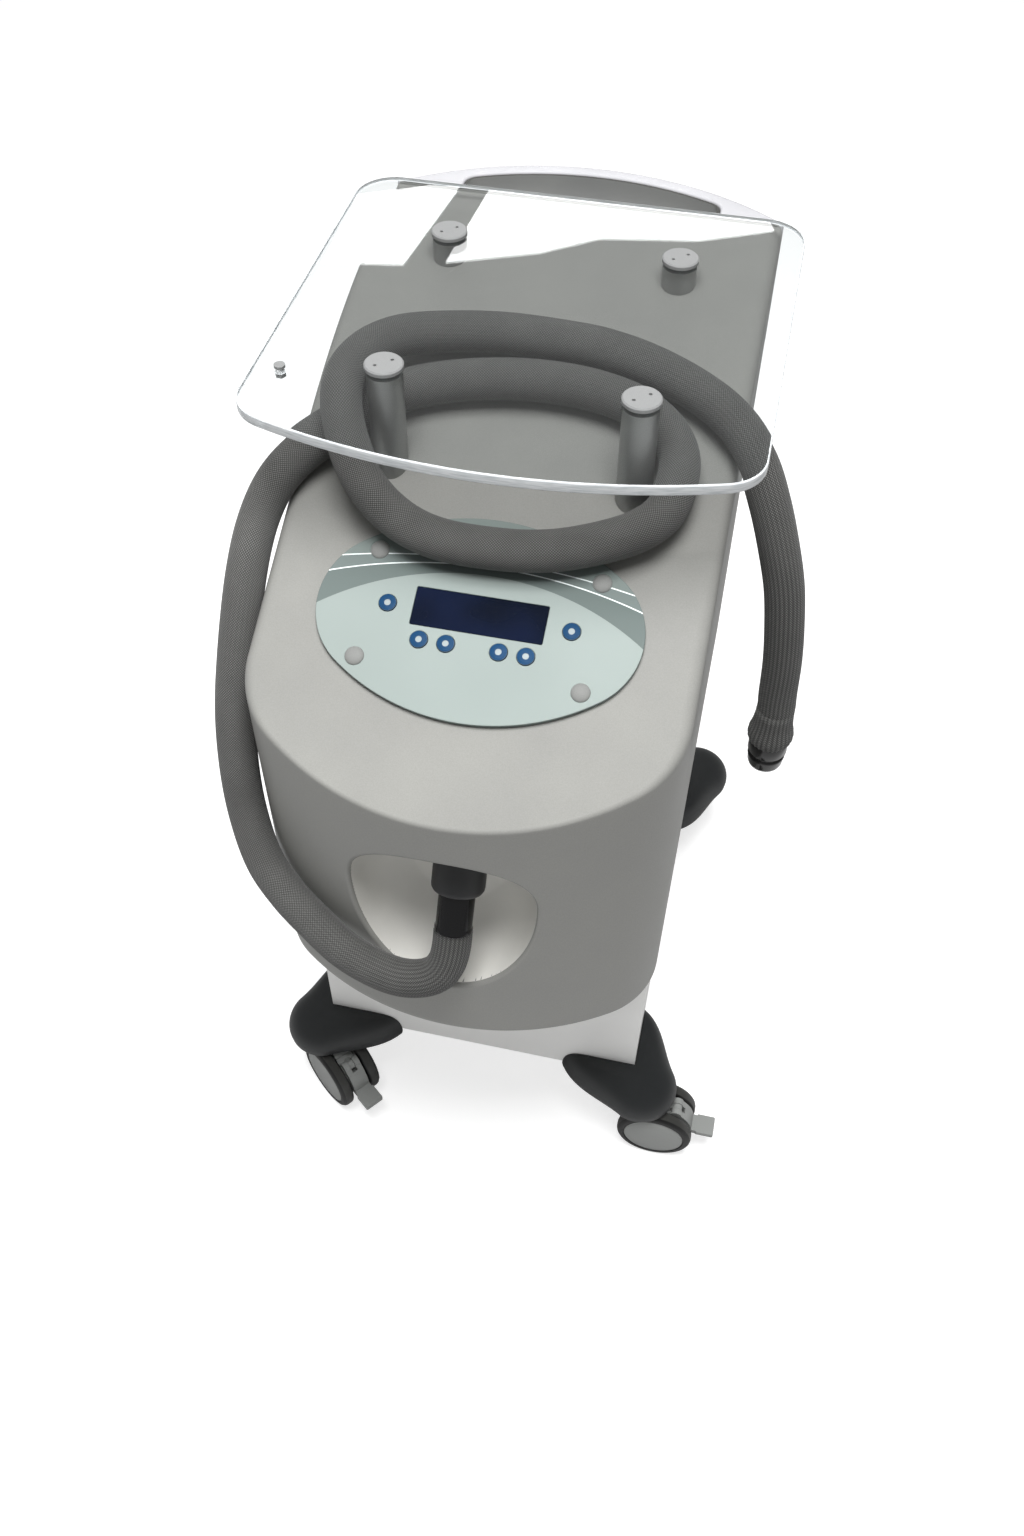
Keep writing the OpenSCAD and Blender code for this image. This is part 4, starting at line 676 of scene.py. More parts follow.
def buildHood():
    halfPlan = hoodOutline()
    plan = halfPlan + [(-x, y, -nx, ny, r) for x, y, nx, ny, r in reversed(halfPlan[1:-1])]
    n = len(plan)
    frameRows = [bay["frameLow"] + (bay["frameHigh"] - bay["frameLow"]) * k / bay["rows"]
                 for k in range(bay["rows"] + 1)]
    low = [hood["low"] + 1.2] + hood["lowRows"]
    points, faces, columns = [], [], []
    edgeSteps = 7
    for x, y, nx, ny, r in plan:
        inset = [(1.2, hood["low"]), (0.35, hood["low"] + 0.35)] + [(0, z) for z in low + frameRows]
        edgeZ = deckZ(y - ny * r if y - ny * r < hood["rear"] else y)
        rise = edgeZ - r - frameRows[-1]
        inset += [(0, frameRows[-1] + rise * k / 10) for k in range(1, 11)]
        for k in range(1, edgeSteps + 1):
            a = math.radians(90 * k / edgeSteps)
            inset.append((r * (1 - math.cos(a)), None if k == edgeSteps else edgeZ - r * (1 - math.sin(a))))
        column = []
        for d, z in inset:
            px, py = x - nx * d, y - ny * d
            column.append(len(points))
            points.append((px, py + frontY, deckZ(py) if z is None else z))
        columns.append(column)
    rows = len(columns[0])
    firstRow = 2 + len(low)
    half = bay["columns"] // 2
    inFrame = {k % n for k in range(-half, half)}
    for k in range(n):
        a, b = columns[k], columns[(k + 1) % n]
        for j in range(rows - 1):
            if k in inFrame and firstRow <= j < firstRow + bay["rows"]:
                continue
            faces.append((a[j], b[j], b[j + 1], a[j + 1]))
    # top: strips between the left and the right edge at the same distance back
    middle = len(halfPlan) - 1
    for k in range(0, middle):
        a, b = columns[k][-1], columns[k + 1][-1]
        c, d = columns[(n - k - 1) % n][-1], columns[(n - k) % n][-1]
        faces.append((a, b, c, d) if k else (a, b, c))
    # the wall round the bay, from the frame's edge in to the rim and over it
    border = [columns[k % n][firstRow] for k in range(-half, half)]
    border += [columns[half][firstRow + j] for j in range(bay["rows"])]
    border += [columns[(half - k) % n][firstRow + bay["rows"]] for k in range(bay["columns"])]
    border += [columns[-half % n][firstRow + bay["rows"] - j] for j in range(bay["rows"])]
    previous = border
    rimSteps = 6
    for ring in range(1, 9 + rimSteps + 2):
        current = []
        for index in border:
            bx, bz = points[index][0] - bay["x"], points[index][2] - bay["z"]
            angle = math.atan2(bz, bx)
            outer, inner = math.hypot(bx, bz), bayReach(angle) + bay["rim"]
            if ring <= 9:
                t = 1 - (1 - ring / 9) ** 1.6
                reach, deep = outer + (inner - outer) * t, 0.0
            elif ring <= 9 + rimSteps:
                a = math.radians(90 * (ring - 9) / rimSteps)
                reach, deep = inner - bay["rim"] * math.sin(a), bay["rim"] * (1 - math.cos(a))
            else:
                reach, deep = inner - bay["rim"], bay["rim"] + 4.0
            x = bay["x"] + reach * math.cos(angle)
            current.append(len(points))
            points.append((x, noseY(x) + deep + frontY, bay["z"] + reach * math.sin(angle)))
        for k in range(len(border)):
            m = (k + 1) % len(border)
            faces.append((previous[k], previous[m], current[m], current[k]))
        previous = current
    made = makeMesh("hood_shell", points, faces, hoodGrey)
    wall = made.modifiers.new("wall", "SOLIDIFY")
    wall.thickness = (hood["wall"] - 0.2) * mm
    wall.offset = -1
    return made


def buildLiner():
    count, steps = 128, 26
    rings = []
    for j in range(steps + 1):
        t = j / steps
        ring = []
        for k in range(count):
            angle = 2 * math.pi * k / count
            reach = bayReach(angle)
            scale = 1 - 0.4 * t ** 2.2
            x0 = reach * math.cos(angle)
            rim = noseY(x0, hood["wall"]) + 0.6
            y = rim + (-hood["nose"] + bay["depth"] - 0.2 - rim) * t ** 0.8
            ring.append((bay["x"] + x0 * scale, y + frontY, bay["z"] + reach * math.sin(angle) * scale))
        rings.append(ring)
    centre = (bay["x"], -hood["nose"] + bay["depth"] - 0.2 + frontY, bay["z"])
    # the flat back is closed by shrinking rings
    for s in (0.8, 0.5, 0.2):
        rings.append([(centre[0] + (x - centre[0]) * s, centre[1], centre[2] + (z - centre[2]) * s)
                      for x, y, z in rings[steps]])
    points, faces = loft(rings)
    points.append(centre)
    last = (len(rings) - 1) * count
    faces += [(last + k, last + (k + 1) % count, len(points) - 1) for k in range(count)]
    # the bowl takes the bay's lacquer, painted lighter as painted light
    return makeMesh("bay_bowl", points, faces, bayPaintedLight)


put(buildHood(), "cart", "hood_coat", "hood")
put(buildLiner(), "cart", "hood_coat", "bay_liner")
outletMouth = Vector((8, -88 + frontY, 489))
socketProfile = [(14.5, 62), (14.5, 1.2), (15.4, 0), (17.2, 0), (19.2, 0.9), (20.2, 2.6), (20.5, 4.8),
                 (20.5, 62), (14.5, 62)]
outletSocket = lathe("outlet_socket", socketProfile, socketGrey, outletMouth, outletWay)
put(outletSocket, "cart", "socket_grey", "hose_socket")
web = {"inset": 3.2, "low": 327.4, "high": 330.0, "ahead": -3, "halfWidth": 157.6, "back": -0.4}


def buildWeb():
    # a thin floor that closes the nose from below, just inside the hood's wall
    right = [(x - nx * web["inset"], y - ny * web["inset"]) for x, y, nx, ny, edge in hoodOutline()
             if y < web["ahead"]]
    left = [(-x, y) for x, y in reversed(right)]
    outline = left + right[1:] + [(web["halfWidth"], web["back"]), (-web["halfWidth"], web["back"])]
    rings = [[(x, y + frontY, z) for x, y in outline] for z in (web["low"], web["high"])]
    return makeMesh("nose_web", *loft(rings, True, True, True), hoodGrey, False)


put(buildWeb(), "cart", "hood_coat")
print("stage: hood")


# control plate
def ovalOutline(width, height, steps=40):
    # four arcs that meet smoothly: two round ends and two flatter sides
    endR = height * plate["endRadius"]
    endX = width / 2 - endR
    sideR = (endX * endX + height * height / 4 - endR * endR) / (height - 2 * endR)
    sideY = height / 2 - sideR
    a = math.degrees(math.atan2(-sideY, endX))
    right = arc(endX, 0, endR, -a, a, steps)
    upper = arc(0, sideY, sideR, a, 180 - a, steps)
    left = arc(-endX, 0, endR, 180 - a, 180 + a, steps)
    lower = arc(0, -sideY, sideR, 180 + a, 360 - a, steps)
    return right + upper[1:] + left[1:] + lower[1:-1]


def roundedBox(x0, y0, x1, y1, r, steps=4):
    return (arc(x1 - r, y1 - r, r, 0, 90, steps) + arc(x0 + r, y1 - r, r, 90, 180, steps)
            + arc(x0 + r, y0 + r, r, 180, 270, steps) + arc(x1 - r, y0 + r, r, 270, 360, steps))


def circleOutline(x, y, r, steps=40):
    return arc(x, y, r, 0, 360, steps)[:-1]


def buildPlate():
    w, h = plate["window"]
    holes = [roundedBox(-w / 2, plate["windowV"] - h / 2, w / 2, plate["windowV"] + h / 2, 1.2)]
    holes += [circleOutline(x, y, plate["keyWidth"] / 2 + 0.3) for x, y in plate["keys"].values()]
    sx, sy = plate["screws"]
    holes += [circleOutline(a * sx / 2, b * sy / 2, 2.7, 24) for a in (-1, 1) for b in (-1, 1)]
    middle = (plate["thick"] + plate["seat"]) / 2
    made = flatCurve("control_glass", [ovalOutline(plate["width"], plate["height"])] + holes,
                     plate["thick"] - plate["seat"], 0.7, lambda x, y, z: onPlate(x, y, z + middle),
                     [aquaGlass, glassEdge], 3)
    normal = Vector((0, -math.sin(plateTilt), math.cos(plateTilt)))
    for face in made.data.polygons:
        face.material_index = 0 if face.normal.dot(normal) > 0.6 else 1
        face.use_smooth = abs(face.normal.dot(normal)) < 0.999
    return made


put(buildPlate(), "cart", "plate_gloss", "control_plate")
slopeUp = (0, -math.sin(plateTilt), math.cos(plateTilt))


def buildWindow():
    # the glass fills its cut-out but for a gap of 0.25 mm
    w, h = (size / 2 - 0.25 for size in plate["window"])
    outline = roundedBox(-w, plate["windowV"] - h, w, plate["windowV"] + h, 1.0)
    return flatCurve("display_glass", [outline], plate["thick"] - 0.5, 0.2,
                     lambda x, y, z: onPlate(x, y, z + plate["thick"] / 2), displayNavy, 1)


put(buildWindow(), "cart", "display_dark", "display_window")
keyBodies = {"button_power": "power_button", "button_start": "start_button", "key_1": "key_1_cap",
             "key_2": "key_2_cap", "key_3": "key_3_cap", "key_4": "key_4_cap"}


def buildKey(node, u, v):
    # a stem, a cap with a rounded rim, and a small dished dot on it; dot and rim are pale
    top, r, deep = plate["thick"] + plate["keyProud"], plate["keyWidth"] / 2, -plate["keyReach"]
    profile = [(0, deep), (2.5, deep), (2.5, 1.4), (r, 1.4), (r, top - 0.4), (r - 0.12, top - 0.12),
               (r - 0.4, top), (5.9, top), (2.35, top - 0.06), (2.15, top - 0.3), (0, top - 0.36)]
    return lathe(node + "_cap", profile, [keyBlue, keyWhite], onPlate(u, v), slopeUp, 64, 40,
                 lambda radius, height: int(radius < 2.3 and height > 3 or radius > 6.1 and height > 4))


for node, (u, v) in plate["keys"].items():
    put(buildKey(node, u, v), keyBodies[node], "key_blue", node)
print("stage: control plate")


# screw heads, repeated by geometry nodes
def headTree(name, axis, material):
    # a domed head on a shank, at each point
    tree = bpy.data.node_groups.new(name, "GeometryNodeTree")
    tree.interface.new_socket("Geometry", in_out="INPUT", socket_type="NodeSocketGeometry")
    for label in ("Head Diameter", "Head Height", "Shank Length"):
        tree.interface.new_socket(label, in_out="INPUT", socket_type="NodeSocketFloat")
    tree.interface.new_socket("Geometry", in_out="OUTPUT", socket_type="NodeSocketGeometry")
    given = addNode(tree, "NodeGroupInput").outputs
    radius = addNode(tree, "ShaderNodeMath", {0: given["Head Diameter"], 1: 0.5}, operation="MULTIPLY")
    ball = addNode(tree, "GeometryNodeMeshUVSphere", {"Segments": 40, "Rings": 24, "Radius": radius})
    flat = addNode(tree, "ShaderNodeMath", {0: given["Head Height"], 1: radius}, operation="DIVIDE")
    squash = addNode(tree, "ShaderNodeCombineXYZ", {0: 1.0, 1: 1.0, 2: flat})
    dome = addNode(tree, "GeometryNodeTransform", {"Geometry": ball, "Scale": squash})
    shankR = addNode(tree, "ShaderNodeMath", {0: radius, 1: 0.35}, operation="MULTIPLY")
    shank = addNode(tree, "GeometryNodeMeshCylinder",
                    {"Vertices": 24, "Radius": shankR, "Depth": given["Shank Length"]})
    low = addNode(tree, "ShaderNodeMath", {0: given["Shank Length"], 1: -0.5}, operation="MULTIPLY")
    drop = addNode(tree, "ShaderNodeCombineXYZ", {2: low})
    sunk = addNode(tree, "GeometryNodeTransform", {"Geometry": shank, "Translation": drop})
    head = addNode(tree, "GeometryNodeJoinGeometry", {"Geometry": dome})
    setInputs(tree, head, {"Geometry": sunk})
    turned = Vector((0, 0, 1)).rotation_difference(Vector(axis)).to_euler()
    spread = addNode(tree, "GeometryNodeInstanceOnPoints", {
        "Points": given["Geometry"], "Instance": head, "Rotation": tuple(turned)})
    real = addNode(tree, "GeometryNodeRealizeInstances", {"Geometry": spread})
    smooth = addNode(tree, "GeometryNodeSetShadeSmooth", {"Geometry": real})
    painted = addNode(tree, "GeometryNodeSetMaterial", {"Geometry": smooth, "Material": material})
    addNode(tree, "NodeGroupOutput", {"Geometry": painted})
    return tree


def runTree(name, places, tree, values):
    # runs the tree on a mesh of loose points and keeps its result as a plain mesh
    seeds = bpy.data.meshes.new(name + "_points")
    seeds.from_pydata([[c * mm for c in p] for p in places], [], [])
    holder = addObject(name + "_holder", seeds)
    modifier = holder.modifiers.new("repeat", "NODES")
    modifier.node_group = tree
    for item in tree.interface.items_tree:
        if item.in_out == "INPUT" and item.name in values:
            modifier[item.identifier] = values[item.name] * mm
    mesh = takeMesh(holder)
    mesh.name = name
    return addObject(name, mesh)


acrossX, acrossV = (gap / 2 for gap in plate["screws"])
screwSpots = [onPlate(a * acrossX, b * acrossV, plate["thick"]) for a in (-1, 1) for b in (-1, 1)]
screwSizes = dict(zip(("Head Diameter", "Head Height", "Shank Length"), plate["screwSize"]))
plateDomes = runTree("plate_domes", screwSpots, headTree("plate_domes_tree", slopeUp, domeSteel), screwSizes)
put(plateDomes, "cart", "post_steel", "plate_screws")

# tray
tray = {"width": 360, "low": 778, "thick": 8, "front": 27, "rear": 388, "corner": 32, "bow": 522,
        "posts": (180, 126, 309), "hole": 5.8, "stud": (-160, 110), "studHole": 2.7, "edge": 1.2}


def trayOutline():
    cx = tray["width"] / 2 - tray["corner"]
    bowY = tray["front"] + tray["bow"]
    sideY = bowY - math.sqrt((tray["bow"] - tray["corner"]) ** 2 - cx * cx)
    a = math.degrees(math.atan2(cx, bowY - sideY))
    r = tray["corner"]
    return (arc(cx, tray["rear"] - r, r, 0, 90, 16) + arc(-cx, tray["rear"] - r, r, 90, 180, 16)
            + arc(-cx, sideY, r, 180, 270 - a, 16) + arc(0, bowY, tray["bow"], 270 - a, 270 + a, 48)[1:-1]
            + arc(cx, sideY, r, 270 + a, 360, 16))


postSpread, postFront, postRear = tray["posts"]
postPlaces = [(s * postSpread / 2, y) for y in (postFront, postRear) for s in (-1, 1)]
trayMiddle = tray["low"] + tray["thick"] / 2
trayHoles = [circleOutline(x, y, tray["hole"]) for x, y in postPlaces]
trayHoles.append(circleOutline(*tray["stud"], tray["studHole"], 20))
clearTray = flatCurve("clear_tray", [trayOutline()] + trayHoles, tray["thick"], tray["edge"],
                      lambda x, y, z: (x, y + frontY, z + trayMiddle), [acrylic, acrylicEdge], 4)
for face in clearTray.data.polygons:
    face.use_smooth = abs(face.normal.z) < 0.999
    # the rounded edge faces take the edge's painted white
    face.material_index = int(face.use_smooth)
put(clearTray, "cart", "tray_clear", "tray")

# handle: a bowed bar behind the hood, with a dished pocket for the fingers
handle = {"front": 408.2, "end": 476, "rise": 57, "top": 768, "height": 36, "foot": 110, "grip": 216,
          "bar": 14, "deep": 40, "wall": 4, "edge": 4.5, "near": 6, "corner": 14, "shell": 3, "lip": 2}
handle["arcR"] = (hood["half"] ** 2 + handle["rise"] ** 2) / (2 * handle["rise"])
handle["arcY"] = handle["end"] - handle["arcR"]


def handleRing(halfWidth, nearY, nearR, farR, bigR):
    # a crescent in plan: straight towards the hood, bowed behind, with as many points whatever its size
    farX = halfWidth - farR
    farY = handle["arcY"] + math.sqrt((bigR - farR) ** 2 - farX ** 2)
    turn = math.degrees(math.atan2(farY - handle["arcY"], farX))
    half = [((halfWidth - nearR) * k / 12, nearY) for k in range(12)]
    half += arc(halfWidth - nearR, nearY + nearR, nearR, -90, 0, 5)
    half += arc(farX, farY, farR, 0, turn, 8) + arc(0, handle["arcY"], bigR, turn, 90, 24)[1:]
    return half + [(-x, y) for x, y in reversed(half[1:-1])]


def outerRing(inset):
    return handleRing(hood["half"] - inset, handle["front"] + inset,
                      max(2.5 - inset, 0.3), max(5 - inset, 0.5), handle["arcR"] - inset)


def gripRing(inset):
    return handleRing(handle["grip"] / 2 - inset, handle["front"] + handle["wall"] + inset,
                      handle["near"] - inset, handle["corner"] - inset,
                      handle["arcR"] - handle["bar"] - inset)


def underside(y):
    # height of the sloping underside
    start = handle["front"] + 8
    share = min(1, max(0, (y - start) / (handle["end"] - start)))
    return handle["top"] - handle["foot"] + (handle["foot"] - handle["height"]) * share


def strips(first, count):
    # closes a ring whose left half mirrors its right half
    half = count // 2
    faces = [(first, first + 1, first + count - 1)]
    for k in range(1, half - 1):
        faces.append((first + k, first + k + 1, first + count - k - 1, first + count - k))
    faces.append((first + half - 1, first + half, first + half + 1))
    return faces


def barMesh(name, rings, materials, sharp):
    # a skin through the rings, closed across its first and its last
    points, faces = loft([[(x, y + frontY, z) for x, y, z in ring] for ring in rings])
    count = len(rings[0])
    faces += strips(0, count) + strips(len(points) - count, count)
    return makeMesh(name, points, faces, materials, True, sharp)


def buildHandle():
    rings = [[(x, y, underside(y) + rise) for x, y in outerRing(inset)]
             for inset, rise in ((1.2, 0.4), (0, 1.6))]
    low = handle["top"] - handle["edge"]
    for share in (0.25, 0.5, 0.75):
        rings.append([(x, y, underside(y) + (low - underside(y)) * share) for x, y in outerRing(0)])
    for k in range(7):
        a = math.radians(15 * k)
        rings.append([(x, y, low + handle["edge"] * math.sin(a))
                      for x, y in outerRing(handle["edge"] * (1 - math.cos(a)))])
    # over the rounded lip of the grip, down to a floor just under its pocket
    lip = handle["lip"]
    for k in range(6):
        a = math.radians(18 * k)
        rings.append([(x, y, handle["top"] - lip * (1 - math.cos(a)))
                      for x, y in gripRing(-lip * (1 - math.sin(a)))])
    floor = handle["top"] - handle["deep"] - handle["shell"] - 0.4
    rings.append([(x, y, floor) for x, y in gripRing(0)])
    return barMesh("handle_bar", rings, handlePaint, 40)


def buildPocket():
    # a bowl whose lip is painted dark, as painted shade at its rim: its wall curves in from the lip to a
    # narrower floor
    wallStart, steps = 2.7, 26
    middle = (handle["front"] + handle["wall"] + handle["end"] - handle["bar"]) / 2
    top = handle["top"]
    base = top - handle["deep"] - handle["shell"]
    outside = [(1.2, base), (0.25, base + 1), (0.25, top - 2.2), (0.9, top - 1.5), (1.9, top - 1.6)]
    rings = [[(x, y, z) for x, y in gripRing(inset)] for inset, z in outside]
    for k in range(steps + 1):
        t = k / steps
        shrink = 1 - 0.4 * t ** 2.5
        z = top - 1.8 - (handle["deep"] - 1.8) * t ** 0.85
        rings.append([(x * shrink, middle + (y - middle) * shrink, z) for x, y in gripRing(wallStart)])
    made = barMesh("grip_pocket", rings, [pocketGrey, pocketRimShade], 60)
    # the faces at the top take the lip's painted shade
    for face in made.data.polygons:
        face.material_index = 1 if face.center.z / mm > top - 2.4 else 0
    return made


put(buildHandle(), "cart", "handle_paint", "handle_frame")
put(buildPocket(), "cart", "socket_grey", "handle_grip")
print("stage: tray and handle")

# bumpers
bumper = {"radius": 36, "off": 9, "wing": 74, "low": 80, "height": 32, "wall": 4, "gap": 0.3, "wallGap": 1.2,
          "rings": 22, "arc": 40, "bulge": 5.5, "side": 12, "sweep": 84, "cornerTaper": 0.8,
          "wingTaper": 0.22, "skirt": 6, "leastR": 1.5}


def bumperRing(t, inset):
    # one level ring, from the top of the upright skirt at t = 0 to the domed top at t = 1
    f = math.cos(math.radians(bumper["sweep"] * t))
    c = bumper["off"] * (0.55 + 0.45 * f)
    r = max((bumper["radius"] - inset) * f ** bumper["cornerTaper"], bumper["leastR"])
    wing = (bumper["wing"] - 2.2 * inset) * max(f, 0.02) ** bumper["wingTaper"] - 2
    climb = (bumper["height"] - bumper["skirt"] - inset) * math.sin(math.radians(90 * t))
    z = bumper["low"] + bumper["skirt"] - inset * 0.2 + climb
    tip = math.degrees(math.atan2(c, wing + c))
    b = math.degrees(math.acos(r / math.hypot(wing + c, c)))
    gap = bumper["gap"] + (bumper["wallGap"] if inset else 0)
    ring = [(-wing, -gap, z)]
    steps = bumper["arc"]
    for k in range(steps + 1):
        a = math.radians(tip - 180 + b + (270 - 2 * b) * k / steps)
        ring.append((c + r * math.cos(a), -c + r * math.sin(a), z))
    # the wings swell a little between the tip and the round corner, which they meet smoothly
    end = (gap, wing, z)
    cuts = [k / bumper["side"] for k in range(1, bumper["side"])]
    front = [swell(ring[0], ring[1], share, -1) for share in cuts]
    side = [swell(end, ring[-1], share, 1) for share in reversed(cuts)]
    return [ring[0]] + front + ring[1:] + side + [end, (gap, -gap, z)]


def swell(tip, root, share, side):
    # a point between tip and root, moved out by up to the bulge, which is reached a third of the way
    along = Vector(root) - Vector(tip)
    out = Vector((-along.y, along.x, 0)).normalized() * side
    return tuple(Vector(tip) + along * share + out * bumper["bulge"] * 6.75 * share * (1 - share) ** 2)


def buildBumper(name, sx, sy, node):
    levels = [k / bumper["rings"] for k in range(bumper["rings"] + 1)]
    outer = [bumperRing(t, 0) for t in levels]
    inner = [bumperRing(t, bumper["wall"]) for t in levels]
    # the lower edge turns in a little
    lip = [(x * 0.985, y * 0.985 if y < -1 else y, bumper["low"]) for x, y, z in outer[0]]
    innerLip = [(x, y, bumper["low"]) for x, y, z in inner[0]]
    rings = list(reversed(inner)) + [innerLip, lip] + outer
    points, faces = loft(rings, True, True, True)
    corner = (sx * chassis["cornerX"], (0 if sy < 0 else chassis["deep"]) + frontY)
    placed = [(corner[0] + sx * x, corner[1] - sy * y, z) for x, y, z in points]
    made = makeMesh(name, placed, faces, bumperBlack, True, 38)
    return put(made, "cart", "bumper_black", node)


for name, sx, sy in (("fl", -1, -1), ("fr", 1, -1), ("rl", -1, 1), ("rr", 1, 1)):
    buildBumper("corner_bumper_" + name, sx, sy, "bumper_" + name)
print("stage: bumpers")

# casters
caster = {"wheel": 75, "width": 46, "tyreWidth": 13, "tyreThick": 7.5, "trail": 23, "outX": 7, "outY": 13,
          "turns": {"fl": -38, "fr": 0, "rl": 180, "rr": 180}}


def casterFrame(name):
    sx = -1 if name[1] == "l" else 1
    y = -caster["outY"] if name[0] == "f" else chassis["deep"] + caster["outY"]
    place = Vector((sx * (chassis["cornerX"] + caster["outX"]), y + frontY, 0))
    return Matrix.Translation(place) @ Matrix.Rotation(math.radians(caster["turns"][name]), 4, "Z")


def buildWheel(name):
    spot = casterFrame(name)
    centre = spot @ Vector((caster["trail"], 0, caster["wheel"] / 2))
    axle = spot.to_3x3() @ Vector((0, 1, 0))
    r, w, tw = caster["wheel"] / 2, caster["width"] / 2, caster["tyreWidth"]
    hubR, inner = r - caster["tyreThick"], w - tw
    hubProfile = [(0, inner), (hubR, inner), (hubR, w - 1.2), (hubR - 0.8, w - 0.5), (hubR - 1.6, w - 0.9),
                  (hubR - 2.4, w - 0.6), (hubR - 4, w - 0.2), (hubR * 0.5, w), (0, w)]
    tyreProfile = [(hubR + 0.02, inner + 0.4), (r - 2.6, inner + 0.4), (r - 1.4, inner + 1.0),
                   (r - 0.5, inner + 2.0), (r, inner + 3.6), (r, w - 5.0), (r - 0.7, w - 2.8),
                   (r - 2.4, w - 0.9), (r - 4.6, w - 0.1), (hubR + 0.4, w - 0.1),
                   (hubR + 0.02, w - 0.8), (hubR + 0.02, inner + 0.4)]
    hubs, tyres = [], []
    for side in (-1, 1):
        out = axle * side
        hubs.append(lathe("hub", hubProfile, hubGrey, centre, out, 96, 50))
        tyres.append(lathe("tyre", tyreProfile, [tyreBlack, treadGrey], centre, out, 96, 50,
                           lambda radius, height: 1 if radius > r - 0.6 else 0))
    axleProfile = [(0, -w + 3), (4, -w + 3), (4, w - 3), (0, w - 3)]
    hubs.append(lathe("axle", axleProfile, sheetSteel, centre, axle, 48, 50))
    for pieces, label, slot in ((hubs, "hubs", "caster_grey"), (tyres, "tyres", "tyre_rubber")):
        joined = joinPieces(pieces, "wheel_%s_%s" % (label, name))
        put(joined, name + "_wheels", slot, "caster_%s_%s" % (name, label))


def joinPieces(pieces, name):
    work = bmesh.new()
    materials = []
    for piece in pieces:
        for material in piece.data.materials:
            if material not in materials:
                materials.append(material)
        start = len(work.faces)
        work.from_mesh(piece.data)
        work.faces.ensure_lookup_table()
        for face in work.faces[start:]:
            face.material_index = materials.index(piece.data.materials[face.material_index])
    mesh = bpy.data.meshes.new(name)
    work.to_mesh(mesh)
    work.free()
    for material in materials:
        mesh.materials.append(material)
    for piece in pieces:
        bpy.data.objects.remove(piece)
    return addObject(name, mesh)


for name in caster["turns"]:
    buildWheel(name)
print("stage: casters")

# finishes of the solids that stay
finishes = {
    "base_frame": powderWhite, "front_panel": powderWhite, "side_panels": powderWhite,
    "rear_panel": powderWhite, "inner_shelf": sheetSteel, "air_duct": ductGrey, "control_board": boardGreen,
    "front_posts": turnedSteel, "rear_posts": turnedSteel, "post_caps": capSteel, "tray_stud": capSteel,
    "compressor": compressorBlack, "condenser": sheetSteel, "condenser_fan": socketGrey,
    "fan_motor": compressorBlack, "evaporator": foamGrey, "blower_housing": ductGrey,
    "blower_wheel": socketGrey, "power_supply": sheetSteel, "refrigerant_lines": copperPipe,
    "mains_inlet": inletBlack, "power_rocker": inletBlack,
}
for name in caster["turns"]:
    finishes["caster_%s_body" % name] = casterGrey
    finishes["caster_%s_pedal" % name] = casterGrey
for node, material in finishes.items():
    data = cadNodes[node].data
    data.materials.clear()
    data.materials.append(material)
print("stage: finishes")

# floor and light
studio = {
    "sky": 0.34, "floorSize": 8, "floorGlow": 0.68,
    "lampPlace": (0.1, -0.5, 2.7), "lampAim": (0, -0.15, 0.5), "lampSize": 1.1, "lampPower": 102,
    # two soft panels high behind the cart, given as the spots where the tray's top mirrors them
    "panels": [[(-174, 247), (-177, 352), (-124, 380), (-100, 382), (-113, 258)],
               [(-76, 383), (150, 383), (155, 371), (100, 343), (25, 329), (-16, 298), (-83, 268)]],
    "panelHeight": 2400, "panelGlow": 6.5,
}
white = (1, 1, 1, 1)


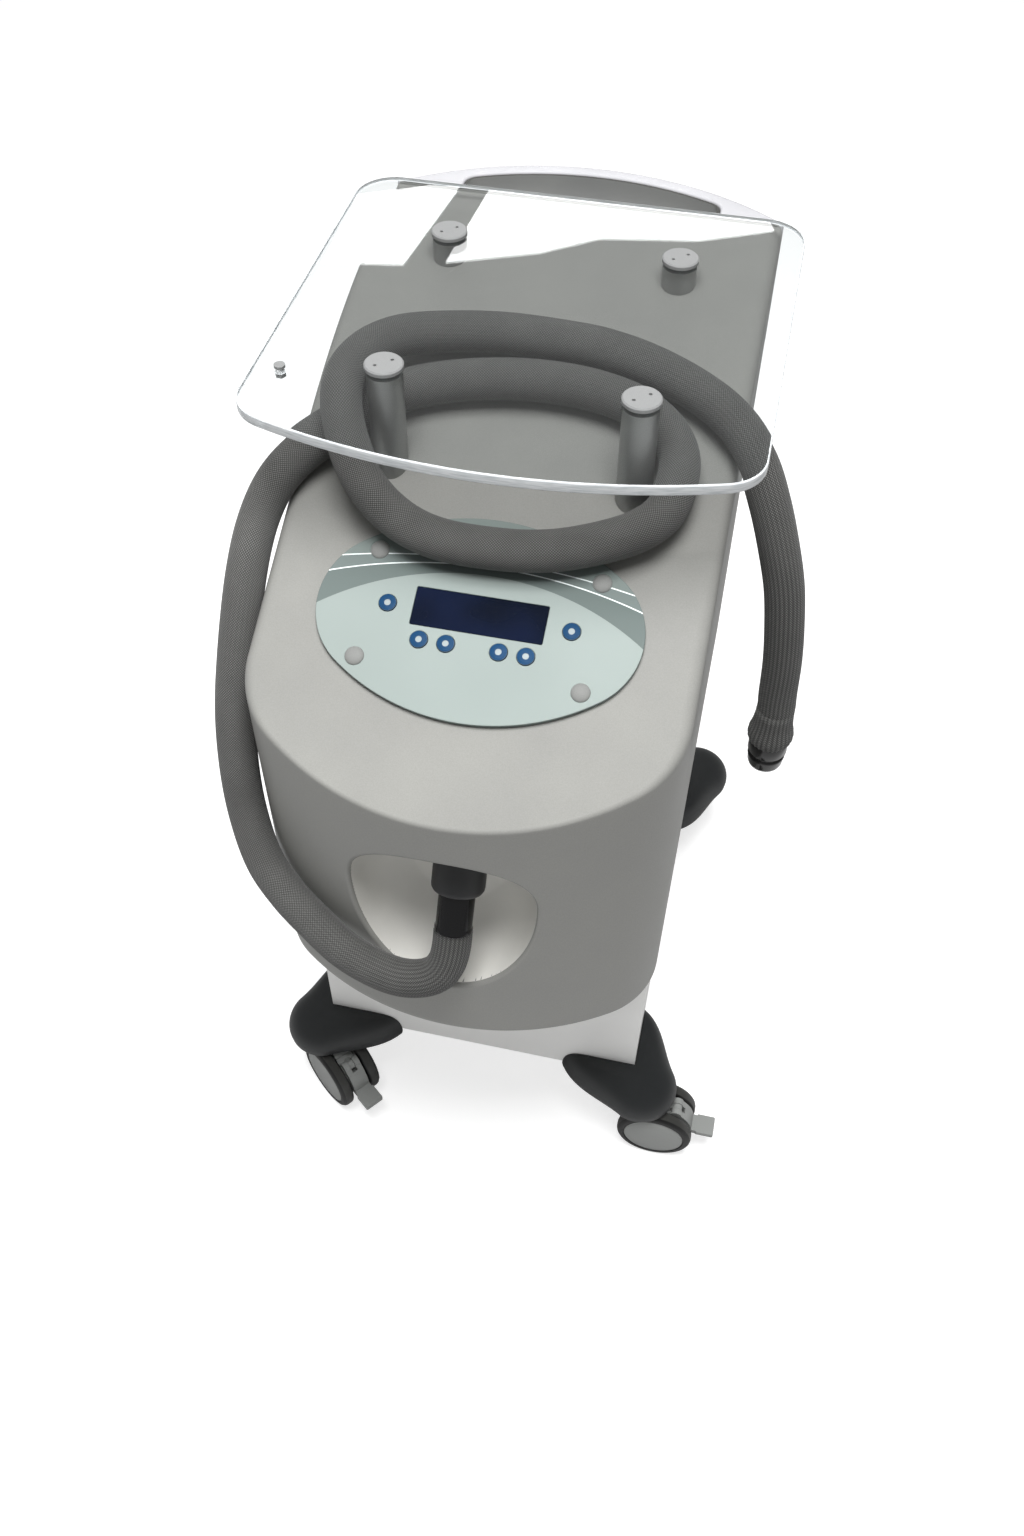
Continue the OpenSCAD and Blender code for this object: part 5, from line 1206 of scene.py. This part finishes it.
def buildFloor():
    # the paper looks white even in the cart's shadow, yet throws back little light
    mesh = bpy.data.meshes.new("floor")
    s = studio["floorSize"]
    mesh.from_pydata([(-s, -s, 0), (s, -s, 0), (s, s, 0), (-s, s, 0)], [], [(0, 1, 2, 3)])
    paper, tree, shader, place = newMaterial("paper_white", "#c4c4c4", 0.9,
                                             Specular_IOR_Level=0.0, Emission_Color=white)
    rays = addNode(tree, "ShaderNodeLightPath").outputs
    seen = addNode(tree, "ShaderNodeMath", {0: rays["Is Camera Ray"], 1: rays["Is Transmission Ray"]},
                   operation="MAXIMUM")
    glow = addNode(tree, "ShaderNodeMath", {0: seen, 1: studio["floorGlow"]}, operation="MULTIPLY")
    setInputs(tree, shader, {"Emission Strength": glow})
    mesh.materials.append(paper)
    return addObject("floor", mesh)


floorObject = buildFloor()

# an even sky: white where the camera sees it, dimmer as a light
world = bpy.data.worlds.new("studio")
world.use_nodes = True
skyTree = world.node_tree
skySeen = addNode(skyTree, "ShaderNodeLightPath").outputs["Is Camera Ray"]
skyStrength = addNode(skyTree, "ShaderNodeMath", {0: skySeen, 1: 1 - studio["sky"], 2: studio["sky"]},
                      operation="MULTIPLY_ADD")
setInputs(skyTree, skyTree.nodes["Background"], {"Color": white, "Strength": skyStrength})
bpy.context.scene.world = world

lamp = bpy.data.lights.new("key", "AREA")
lamp.size = studio["lampSize"]
lamp.energy = studio["lampPower"]
keyLamp = addObject("key", lamp)
keyLamp.location = studio["lampPlace"]
# the glossy plate would mirror the lamp, which the photographer kept out of it
keyLamp.visible_glossy = False
keyLamp.visible_transmission = False
lampWay = Vector(studio["lampAim"]) - Vector(studio["lampPlace"])
keyLamp.rotation_euler = lampWay.to_track_quat("-Z", "Y").to_euler()


def softPanels():
    glow = bpy.data.materials.new("soft_panel_light")
    glow.use_nodes = True
    tree = glow.node_tree
    tree.nodes.remove(tree.nodes["Principled BSDF"])
    light = addNode(tree, "ShaderNodeEmission", {"Color": white, "Strength": studio["panelGlow"]})
    setInputs(tree, tree.nodes["Material Output"], {"Surface": light})
    mirror = Vector(camera["place"])
    trayTop = tray["low"] + tray["thick"]
    mirror.z = 2 * trayTop - mirror.z
    reach = (studio["panelHeight"] - mirror.z) / (trayTop - mirror.z)
    for k, panel in enumerate(studio["panels"]):
        corners = [mirror + reach * (Vector((x, y + frontY, trayTop)) - mirror) for x, y in panel]
        mesh = bpy.data.meshes.new("soft_panel_%d" % k)
        mesh.from_pydata([c * mm for c in corners], [], [tuple(range(len(corners)))])
        mesh.materials.append(glow)
        made = addObject("soft_panel_%d" % k, mesh)
        made.visible_camera = False
        made.visible_diffuse = False


softPanels()
bpy.context.scene.view_settings.view_transform = "Standard"
print("stage: light")
